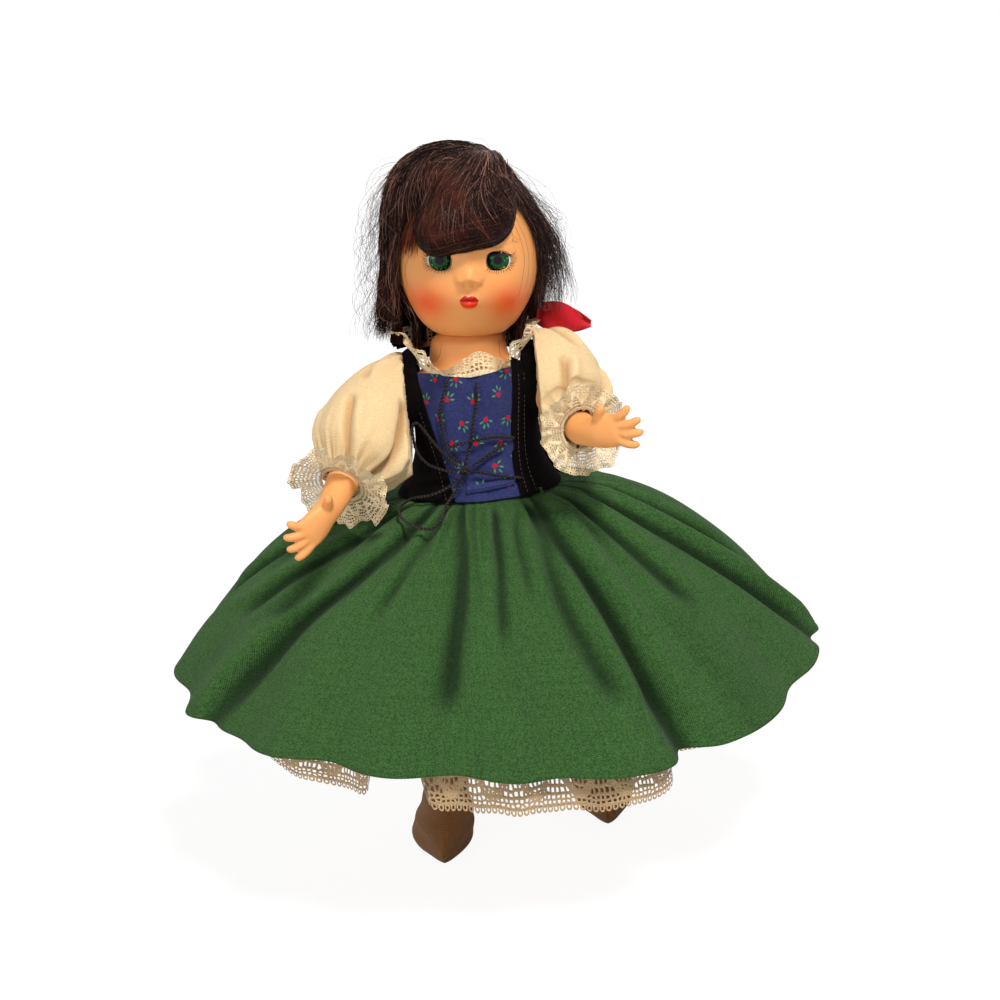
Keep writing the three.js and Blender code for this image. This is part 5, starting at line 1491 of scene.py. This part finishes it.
hair = {
    # height over the middle of the head: reach to its right, left, front and back
    "rows": [(-36.5, 18, 12, 9, 19), (-31.5, 25, 14, 9, 21), (-25.5, 26, 17, 9, 22),
             (-21.5, 25.5, 19.5, 9, 22.5), (-16.5, 25, 20.5, 10, 23), (-9.5, 24.4, 20.8, 11, 24),
             (-1.5, 23.6, 21.6, 14, 24), (5.5, 22.6, 22.4, 18, 24), (13.5, 20.2, 21.2, 19.6, 22.5),
             (20.5, 17.4, 17.4, 17.2, 19), (25.5, 13.3, 13.3, 13.3, 14), (28.2, 8.6, 8.6, 8.4, 8.8),
             (29.3, 4, 4, 4, 4), (29.6, 0.1, 0.1, 0.1, 0.1)],
    # the crown's top lies towards the doll's right
    "aside": 4.6,
    "faceEdge": [(-17, -54.5), (-18.6, -14.5), (-18.9, -2.5), (-17.5, 6.5), (-11, 14), (2, 17), (12, 14.5),
                 (17, 7.5), (18.4, -3.5), (17.8, -14.5), (16.5, -54.5)],
    # fringe: turn, rise of its lower edge, thickness there
    "fringe": [(-60, 30, 0.4), (-52, 22, 0.9), (-45, 14, 1.8), (-38, 8.6, 3.0), (-30, 4.8, 4.2),
               (-22, 4.4, 5), (-12, 6.8, 5), (5, 10, 4.6), (22, 13, 4.0), (36, 22, 2.6), (46, 34, 1.2),
               (54, 44, 0.4)],
    "top": 29.6, "fall": 26,  # height of the crown, and mm that a hair falls below it for each radian
    "strays": [
        [(30, 40, 3), (37, 26, 1.2), (44, 12, 0.6), (47, 0, 0.5), (46, -14, 0.5), (45, -26, 0.6)],
        [(33, 36, 3), (43, 24, 1), (50, 10, 0.6), (53, -6, 0.5), (52, -20, 0.6)],
        [(36, 44, 2), (50, 28, 1), (58, 8, 0.6), (60, -12, 0.6), (56, -28, 0.8)],
        [(-46, 16, 1.6), (-52, 2, 0.6), (-59, -8, 0.4), (-60, -20, 0.4)],
        [(-54, 10, 1.6), (-55, 4, 0.7), (-51, 0, 0.6)],
    ],
    "neckStrays": [
        [(-7.5, -11.4, 151), (-8.2, -12.4, 147.5), (-10.4, -11.9, 145.2)],
        [(8.2, -10.4, 151.5), (8.8, -12, 147.5), (11.4, -11, 146.2)],
        [(10.5, -8.6, 152), (11.4, -9.9, 148.4), (11.2, -10.8, 146)],
    ],
}


def hairSurface(turn, height, grow=0.0):
    # outer form of the hair; grow moves out from it, upwards near the crown
    turn, height, grow = np.broadcast_arrays(np.asarray(turn, float), np.asarray(height, float),
                                             np.asarray(grow, float))
    right, left, front, back = curves(hair["rows"], height)
    a = np.radians(turn)
    up = np.clip((height - 10) / 19, 0, 1) ** 1.5
    wide = grow * (1 - 0.85 * up)
    x = np.maximum(np.where(np.sin(a) < 0, right, left) + wide, 0.02)
    y = np.maximum(np.where(np.cos(a) > 0, front, back) + wide, 0.02)
    aside = hair["aside"] * ease((height + 6) / 30)
    return xyz(x * np.sin(a) - aside, -y * np.cos(a), headZ + height + grow * up)


def domeHeight(x, y):
    # height of the crown over a point, from its distance to the crown's top
    far = np.hypot(x + hair["aside"], y)
    reach = [0, 4, 8.6, 13.3, 17.4, 20.4, 23]
    return np.interp(far, reach, [29.6, 29.3, 28.2, 25.5, 20.5, 13.5, 5]), far


def underDome(points, over):
    # points of the fringe that would stand over the crown's dome come down to it
    top, far = domeHeight(points[..., 0], points[..., 1])
    top = headZ + top + over + 5 * ease((far - 8) / 11) + 30 * ease((far - 19) / 3)
    points[..., 2] = np.minimum(points[..., 2], top)
    return points


def makeTopHair():
    # hairs combed from the parting down to both sides over the crown
    count = 900
    r, pick = drawsFor(53, count)
    s = row(12)
    way = np.where(r.random((count, 1)) < 0.62, -1.0, 1.0)
    y0 = pick(-13, 14)
    x0 = 1.5 + r.normal(0, 1.2, (count, 1)) - 0.1 * y0
    length = np.where(way < 0, pick(9, 18), pick(5, 11))
    x = x0 + way * length * s
    y = y0 * (1 + 0.25 * s) + pick(-2.5, 2.5) * s + 0.7 * np.sin(6 * s + pick())
    z = (headZ + domeHeight(x, y)[0] + pick(-0.3, 0.9) + 0.2 * np.sin(9 * s + pick())
         - 1.2 * ease((0.15 - s) / 0.15))
    combed("topHair", xyz(x, y, z), r, (0.05, 0.1), hairFibre, 0.4)


def inFace(points, margin=0.0):
    # inside the outline of the face, seen from the front
    edge = np.array(hair["faceEdge"], float)
    x, z = points[..., 0], points[..., 2] - headZ
    inside = np.zeros(x.shape, bool)
    for (x0, z0), (x1, z1) in zip(edge, np.roll(edge, -1, axis=0)):
        crosses = (z0 > z) != (z1 > z)
        at = x0 + (z - z0) / (z1 - z0 if z1 != z0 else 1e-9) * (x1 - x0)
        inside ^= crosses & (x < at)
    return inside & (points[..., 1] < -3.5 + margin)


def hairCut(points, margin=0.0):
    # where hair would pass through the shoulders, the bodice or the collar
    x, y, z = points[..., 0], points[..., 1], points[..., 2]
    floor = 148.9 - 3.0 * ease((y - 1) / 7) - 4 * ease((y - 12) / 3) + margin
    cut = z < floor
    cut |= (x > -14.5) & (x < 17) & (y < 10.5) & (z < 155.5 + 0.6 * margin)
    return cut | (x > 15) & (y < 8) & (z < 156.5 + margin)


def shortened(points, margin):
    # a hair that would run into the face or the shoulders ends before it does, in as many steps
    steps = points.shape[1]
    bad = inFace(points, 0.8) | hairCut(points, margin)
    first = np.where(bad.any(axis=1), bad.argmax(axis=1), steps) - 1
    long = first >= steps // 3
    points, first = points[long], first[long]
    at = row(steps) * first[:, None]
    low = np.minimum(np.floor(at).astype(int), steps - 2)
    part = (at - low)[..., None]
    each = np.arange(len(points))[:, None]
    return points[each, low] * (1 - part) + points[each, low + 1] * part


def makeHairMass():
    # dark under layer a little inside the hairs; thin at the left side, where light shows between them
    turn, q = circle(320, -180, 180), column(130)
    height = np.where(q < 0.5, hair["top"] * np.cos(q * np.pi), -(q - 0.5) * 2 * 36.0)
    wave = waves(np.radians(turn) * 9 + 0.4 * np.sin(height * 0.2), 5, 3, 6)
    points = hairSurface(turn, height, -1.6 + 0.4 * wave)
    thin = ease((-20 - turn) / 30) * ease((turn + 150) / 30) * ease((4 - height) / 20)
    points[..., 0] += 2.5 * thin
    middle = (points[:-1] + points[1:]) / 2
    middle = (middle + np.roll(middle, -1, axis=1)) / 2
    keep = ~(inFace(middle) | hairCut(middle, 0.0))
    piece = sheet("hairUnder", lean(points), uvGrid(row(321, 0, 160), q * 90), closed=True, flip=True,
                  keep=keep)
    finish(piece, hairMass, "head", "hair_crown", "hair_back", "hair_lock_right", "hair_lock_left", "wig_cap",
           slot="hair")


def fallingHair(name, count, turns, start, end, lift, seed, curl=0.6, radius=0.085, frizz=0.6, airy=0.0):
    # hairs from the crown down over the surface: each keeps near its own turn, wanders and frizzes at its end
    r, pick = drawsFor(seed, count)
    steps = 13
    q = row(steps)
    lock = r.normal(0, 1, (60, 3))
    turn0 = r.uniform(turns[0], turns[1], count)[:, None]
    near = ((turn0[:, 0] - turns[0]) / (turns[1] - turns[0]) * 59).astype(int)
    longer, aside, outward = lock[near].T[..., None]
    top, fall = hair["top"], hair["fall"]
    h0 = pick(*start)
    h1 = pick(*end) + longer * 1.6
    q0 = np.arccos(np.clip(h0 / top, -1, 1))
    q1 = np.where(h1 >= 0, np.arccos(np.clip(h1 / top, -1, 1)), np.pi / 2 - h1 / fall)
    angle = q0 + (q1 - q0) * q
    height = np.where(angle < np.pi / 2, top * np.cos(angle), -(angle - np.pi / 2) * fall)
    phase, speed = pick(), pick(0.6, 1.5)
    turn = (turn0 + curl * 5 * np.sin(speed * 4 * q + phase) * q + r.normal(0, curl * 4, (count, 1)) * q
            + aside * 3 * q**2)
    grow = pick(*lift) * ease(q * 3) - 0.4 + 0.25 * np.sin(speed * 9 * q + phase * 2) + outward * 0.25 * q
    points = hairSurface(turn, height, grow)
    if airy:
        share = r.random((count, 1)) ** 1.6
        points[..., 0] += np.sin(np.radians(turn)) * ease((19 - height) / 34) * share * airy * 1.2
        points[..., 2] += 1.2 * np.sin(7 * q + phase) * share * q
    wobble = r.normal(0, 1, (count, steps, 3))
    wobble = (wobble + np.roll(wobble, 1, 1) + np.roll(wobble, -1, 1)) / 3
    points = points + frizz * wobble * (q**2)[..., None] + 0.12 * wobble
    combed(name, shortened(points, pick(0, 1) ** 1.4 * 10), r, (0.65, 1.25), hairFibre, scale=radius)


def fringeLift(turn, rise, low, thick):
    # thickness over the forehead: rounds off at the lower edge and joins the dome of the hair above
    dome = ease((rise - 34) / 26)
    full = (thick + (5.0 - thick) * dome) * (0.3 + 0.7 * ease((turn + 64) / 26))
    return 1 + full * np.sqrt(np.clip(0.09 + (rise - low) / 9, 0, 1))


def makeFringeMass():
    # dark layer under the fringe, turned in at its lower edge
    cols = 200
    turn = row(cols, -60, 52)
    low, thick = curves(hair["fringe"], turn)
    v, v2 = column(90), column(14)
    rise = low + 1.1 + (79 - low) * v
    swell = fringeLift(turn, rise, low, thick) - 0.5 + 0.2 * np.sin(np.radians(turn) * 60 + 6 * v)
    points = underDome(headSurface(turn, rise, swell), -0.9)
    under = headSurface(turn, low + 0.8 + 10 * (1 - v2), 0.4 + (thick * 0.25) * v2)
    uv = uvGrid(row(cols, 0, 60), np.concatenate([v2 * 4 - 4, v * 40]))
    mass = sheet("fringeUnder", lean(np.concatenate([under, points])), uv)
    finish(mass, hairMass, "head", "hair_fringe", slot="hair")


def makeFringe(name, count, look, seed, ends, starts):
    # hairs fan out from the parting over the forehead and end along the fringe's rounded edge
    r, pick = drawsFor(seed, count)
    s = row(19)
    endTurn = -52 + 100 * r.random((count, 1)) ** 0.95
    rootTurn = 22 + (endTurn + 8) * 0.5 + r.normal(0, 5, (count, 1))
    startRise = pick(*starts)
    endRise = along(hair["fringe"], endTurn)[..., 0] + pick(*ends)
    rise = startRise + (endRise - startRise) * s**1.05
    turn = rootTurn + (endTurn - rootTurn) * s**0.85
    bow = pick(6, 24) * ease((endTurn + 52) / 34)
    turn = turn - bow * np.sin(np.pi * s**1.3) + pick(0.5, 4) * np.sin(5 * s + pick()) * (0.3 + s)
    low, thick = curves(hair["fringe"], turn)
    lift = fringeLift(turn, rise, low, thick) * pick(0.9, 1.06) + 0.15 * np.sin(11 * s + pick())
    points = underDome(headSurface(turn, np.maximum(rise, low - 1.2), np.maximum(lift, 0.5)), 0.3)
    combed(name, points + r.normal(0, 0.1, (count, 1, 3)), r, (0.05, 0.1), look, 0.45)


def makeRoll():
    # hairs in painted shade, darker than the rest, that sweep along the fringe's lower edge, where it curls
    # under, and rise to its right end
    r, pick = drawsFor(23, 780)
    s = row(20)
    turn = np.minimum(pick(-50, -5) + s * pick(30, 80), 50)
    low, thick = curves(hair["fringe"], turn)
    share = 14 * r.random((780, 1)) ** 1.7 - 0.4 + 2.2 * np.sin(3 * s + pick()) * s
    lift = fringeLift(turn, low + share, low, thick) * pick(0.92, 1.03)
    combed("fringeRoll", headSurface(turn, low + share, np.maximum(lift, 0.5)), r, (0.05, 0.09), hairShaded)


def makeTuft():
    # brown-red hairs that hang at the right temple beside the fringe
    r, pick = drawsFor(41, 330)
    s = row(14)
    turn = pick(-40, -28) + (pick(-58, -45) + 34) * s**0.7
    rise = 48 + (pick(1, 13) - 48) * s + 2 * np.sin(5 * s + pick()) * s
    lift = 3.8 - 2.6 * s + pick(-0.5, 0.6)
    combed("templeTuft", headSurface(turn, rise, np.maximum(lift, 0.3)), r, (0.05, 0.09), hairRed, 0.4)


def makeNapeHair():
    # hair behind the neck, down inside the collar, which closes the view between face and shoulders; it has
    # the painted shade of the shaded copy
    r, pick = drawsFor(43, 650)
    s = row(11)
    a = np.radians(pick(78, 282) + 5 * np.sin(4 * s + pick()))
    z = pick(headZ - 6, headZ + 2) * (1 - s) + pick(145.5, 150.5) * s
    thick = pick(0, 2.6)
    reach = 21.5 - (8.2 - thick) * ease(s * 1.3) + 0.3 * np.sin(9 * s + pick())
    combed("napeHair", xyz(reach * np.sin(a), -(reach - 1.5) * np.cos(a), z), r, (0.1, 0.19), hairShaded, 0.7)


def makeFlyaways():
    # loose hairs that leave the surface in long arcs and curls, most of them low at both sides
    count = 560
    r, pick = drawsFor(31, count)
    s = row(24)
    side = r.random((count, 1))
    top = side > 0.93
    turn0 = np.where(side < 0.55, pick(40, 125), pick(-125, -40))
    turn0 = np.where(top, pick(-60, 60), turn0)
    h0 = np.where(top, pick(20, 28), pick(-12, 26))
    fall = np.where(top, pick(-2, 6), pick(8, 30))
    height = np.clip(h0 - fall * s + 1.8 * np.sin(5 * s + pick()) * s, -30, 29)
    out = (np.where(top, 0.25, 1.0) * pick(0.6, 6.0) ** 1.15
           * np.sin(np.pi * np.minimum(s * pick(0.5, 1.0), 1)) ** 1.2)
    turn = turn0 + pick(-25, 25) * s + 5 * np.sin(7 * s + pick()) * s
    curl = pick(0, 1.0) ** 1.7 * 3.2 * s
    spin = pick(6, 13) * s + pick()
    points = hairSurface(turn, height, out) + xyz(curl * np.cos(spin), curl * np.sin(spin + 1),
                                                  curl * np.sin(spin))
    combed("looseHair", shortened(points, 1.5), r, (0.026, 0.05), hairFibre, 0.6)


def makeStrays():
    # single hairs over the cheek and the brow, by turn, rise and lift, and by the neck, by points
    lines = [headSurface(*evenly(rows, 24).T) for rows in hair["strays"]]
    lines += [pathThrough(rows, 24)[0] for rows in hair["neckStrays"]]
    combed("strayHair", np.array(lines), np.random.default_rng(2), (0.05, 0.05), hairFibre)


# copies of the hair: the fringe's lit top has more light strands, painted light, and the shaded copy fewer,
# painted shade, where hair curls under the fringe's edge, lies under its top layer and hangs behind the neck;
# the red-brown copy has its own colour and more light strands, partly painted glints
hairLitFringe = hairMaterial("hairFringeLit", lift=0.07)
hairShaded = hairMaterial("hairInShade", lift=-0.08)
hairRed = hairMaterial("hairRed", lift=0.1, red=0.55)
makeHairMass()
fallingHair("crownHair", 1300, (-180, 180), (28.6, 29.59), (-4, 16), (-0.2, 0.8), 1, curl=1.6)
fallingHair("backHair", 1200, (95, 265), (10, 29), (-36, -24), (-0.8, 0.7), 2)
fallingHair("rightHair", 1500, (-128, -38), (8, 28), (-34, -15), (-1.4, 0.9), 3, frizz=1.5)
fallingHair("leftHair", 560, (42, 130), (8, 28), (-26, -10), (-0.4, 0.6), 4, airy=8.5, frizz=1.3, radius=0.05,
            curl=1.6)
fallingHair("leftInnerHair", 1000, (44, 130), (6, 26), (-30, -16), (-1.2, 0.6), 8, frizz=0.8, airy=0.6,
            radius=0.08)
makeTopHair()
makeFringeMass()
# the fringe's top layer in the lit copy, and a layer under it in painted shade
makeFringe("fringeHair", 1300, hairLitFringe, 5, (-0.6, 15), (66, 86))
makeFringe("fringeShadedHair", 700, hairShaded, 6, (0, 7), (34, 76))
makeRoll()
makeTuft()
makeNapeHair()
makeFlyaways()
makeStrays()
print("hair made")

ribbon = {
    # x, y, lower and upper edge along each satin end
    "loop": [(18.6, 6.2, 154.0, 158.6), (21.6, 4.2, 152.4, 160.0), (25.6, 3.4, 151.6, 160.2),
             (29.6, 4.2, 151.6, 158.2), (32.4, 5.2, 152.6, 155.2)],
    "tail": [(18.6, 8, 153.6, 158.4), (24, 8.8, 151.2, 158.8), (30, 8.4, 150.6, 157.4),
             (35, 7.4, 152.2, 154.2)],
}


def makeRibbon(name, node, rows):
    # satin end: a curve of lower and upper edges, filled across and slightly wavy
    x, y, lower, upper = evenly(rows, 90).T[:, None]
    v = column(30)
    points = xyz(x, y + 0.3 * np.sin(6 * v + x * 0.5), lower * (1 - v) + upper * v)
    run = runOf(np.stack([x, y, lower], axis=-1)[0])
    piece = sheet(name, lean(points), uvGrid(run[None, :], v * 5))
    thicken(piece, 0.35, 0.0)
    return finish(piece, redSatin, "head", node, slot="ribbon")


makeRibbon("ribbonLoopSatin", "ribbon_loop", ribbon["loop"])
makeRibbon("ribbonTailSatin", "ribbon_tail", ribbon["tail"])
finish(smoothCopy("ribbonKnotSatin", "ribbon_knot", 60), redSatin, "head", slot="ribbon")

lacing = {"radius": 0.45, "routes": {
    "lacing_upright_right": [(-6.2, -13.8, 141.8), (-8, -13.8, 137.4), (-9.2, -13.6, 132.7),
                             (-9.1, -13.8, 128.1), (-8.6, -14.3, 124.5), (-7.4, -15.2, 120.8),
                             (-5, -16.4, 118.8)],
    "lacing_upright_left": [(1.5, -14.8, 140.8), (1.3, -15.5, 136.4), (0.4, -15.7, 132.3),
                            (-0.5, -15.9, 128.4), (-1.2, -15.9, 125), (-2.4, -16.2, 121.4),
                            (-3.4, -16.8, 118.9)],
    "lacing_cross_upper": [(-7.1, -15, 123.1), (-4, -16.4, 124.1), (-1.1, -17, 124.8), (2.2, -16.3, 125),
                           (6, -15.2, 124.9), (10.6, -13.4, 123.7)],
    "lacing_cross_lower": [(-1.5, -17.2, 117.7), (1.8, -16.4, 119.5), (4.6, -15.9, 120.9), (7.5, -15, 122.3)],
    "lacing_waist": [(-1.6, -17.3, 116.1), (1, -17.2, 115.6), (4.5, -16.8, 114.4), (8, -16, 113.4),
                     (11.6, -14.8, 112.5)],
    "bow_loop_upper": [(-5.6, -17.2, 117.9), (-7.2, -16.7, 119.4), (-8.8, -16, 121.2), (-10.8, -14.8, 123.4),
                       (-13.4, -13.2, 126.8), (-15.6, -12.2, 129.8), (-17, -11.8, 129.8), (-17.4, -12.2, 127),
                       (-16.8, -13, 122.6), (-14.4, -14.2, 119), (-10.4, -15.9, 117.2), (-6.4, -17.3, 116.3)],
    "bow_loop_lower": [(-5.6, -17.3, 114.9), (-8.8, -17.3, 112.3), (-13.8, -16.4, 110.2),
                       (-19.6, -14.6, 109.1), (-22.8, -18.6, 107.9), (-21.8, -24.2, 106.2),
                       (-18, -28.2, 104.7), (-14, -29.6, 104.5), (-11.2, -27.2, 106), (-9.8, -21.5, 108.1),
                       (-7, -18.8, 111), (-4.6, -18, 113.9)],
}}


def makeLacing():
    # a braided cord of uneven thickness along each route
    for name, points in lacing["routes"].items():
        line, length = pathThrough(points, 220)
        rough = 1 + 0.05 * waves(np.linspace(0, length, 220) * 2.2, 9, 2, 5)
        piece = tubeAlong(name + "Thread", line, lacing["radius"] * rough, 18, twist=length * 0.9, relief=0.4)
        finish(piece, cordBlack, "torso", name, slot="cord")
        if name.startswith("bow_loop"):
            print(name, "length mm", round(length, 1))


def makeKnot():
    # tied knot: a few turns of the cord wound round each other
    t = np.linspace(0, 2 * np.pi * 2.4, 200)
    line = xyz(-3.8 + np.cos(t) + 0.3 * np.sin(2.6 * t), -17.5 + 0.55 * np.sin(1.7 * t),
               116.5 + np.sin(t) * np.cos(0.35 * t))
    piece = tubeAlong("lacingKnotThread", line, 0.48, 16, twist=14, relief=0.4)
    return finish(piece, cordBlack, "torso", "lacing_knot", slot="cord")


makeLacing()
makeKnot()

leg = {
    # height: share of the way from hip to foot, half width, front, back
    "rows": [(0, 1, 7.6, 16.6, 7), (1.2, 1, 8.9, 18, 8), (4, 1, 9.3, 18.2, 8.4), (7.5, 0.96, 8.8, 15.5, 8.3),
             (11, 0.9, 7.8, 11.5, 7.8), (15, 0.84, 6.9, 8.4, 7), (20, 0.78, 6.6, 7, 6.5),
             (30, 0.66, 6.9, 6.8, 7.3), (40, 0.53, 7.2, 7, 7.4), (50, 0.4, 7.2, 7.3, 7),
             (60, 0.27, 7.9, 8, 7.8), (72.5, 0.12, 8, 8, 8)],
    "hipX": 9.8, "shift": {"right": (-10.4, -6), "left": (19.4, 10.5)}, "top": 51,
}


def makeStocking(side, s):
    # ovals along the slanting leg, with sagging folds at the ankle; the sole closes in rings
    v, t = column(100), circle(80)
    z = leg["top"] * v**1.3
    share, w, front, back = curves(leg["rows"], z)
    dx, dy = leg["shift"][side]
    reach = np.where(np.cos(t) > 0, front, back)
    sag = (0.22 * np.sin(z * 1.1 + 2 * np.sin(t)) * np.exp(-z / 30)
           + 0.25 * np.sin(3 * t + 0.35 * z + s) * np.exp(-z / 14))
    sag = sag - 2.64 * bell((z - 2) / 5) * np.maximum(np.cos(t), 0) * np.abs(np.sin(2 * t))
    points = xyz(s * leg["hipX"] + dx * share + (w + sag) * np.sin(t), dy * share - (reach + sag) * np.cos(t),
                 z)
    sole = np.array([s * leg["hipX"] + dx, dy - 4, 0])
    points = np.concatenate([points[:1] * (1 - k) + sole * k for k in (0.98, 0.7, 0.35)] + [points])
    uv = uvGrid(row(81, 0, 50), np.concatenate([[-9, -6, -3], z[:, 0]])[:, None])
    piece = sheet(side + "StockingKnit", points, uv, closed=True)
    return finish(piece, knitStocking, side + "_leg", side + "_stocking", slot="stocking")


for side, s in bothSides.items():
    makeStocking(side, s)
print("ribbon, lacing and stockings made")

# pieces whose CAD shape stays, by body and look
kept = {
    "torso": {skin: ["torso_front", "torso_back"], ivoryCotton: ["panties"],
              elastic: ["arm_elastic", "leg_elastic", "head_elastic"],
              steel: ["snap_upper_socket", "snap_upper_stud", "snap_lower_socket", "snap_lower_stud"]},
    "right_arm": {steel: ["right_arm_hook"]},
    "left_arm": {steel: ["left_arm_hook"]},
    "right_leg": {skin: ["right_leg"], steel: ["right_leg_hook"]},
    "left_leg": {skin: ["left_leg"], steel: ["left_leg_hook"]},
    "neck": {steel: ["neck_hook", "neck_washer"]},
    "eyes": {steel: ["eye_rocker"], lead: ["eye_weight"]},
}


def drawIn(piece):
    # the foot under the stocking: everything below 16 mm moves in towards its own middle
    mesh = piece.data
    flat = np.empty(len(mesh.vertices) * 3)
    mesh.vertices.foreach_get("co", flat)
    points = flat.reshape(-1, 3)
    low = ease((0.016 - points[:, 2]) / 0.01)
    foot = points[points[:, 2] < 0.016]
    middle = (foot.min(axis=0) + foot.max(axis=0)) / 2
    for k, share in ((0, 0.3), (1, 0.26)):
        points[:, k] -= (points[:, k] - middle[k]) * share * low
    points[:, 2] += 0.0015 * low
    mesh.vertices.foreach_set("co", points.ravel())
    mesh.update()


for body, looks in kept.items():
    for look, nodes in looks.items():
        for node in nodes:
            copy = smoothCopy(node.title().replace("_", "") + "Kept", node)
            if node.endswith("_leg"):
                drawIn(copy)
            finish(copy, look, body)
print("kept pieces made")
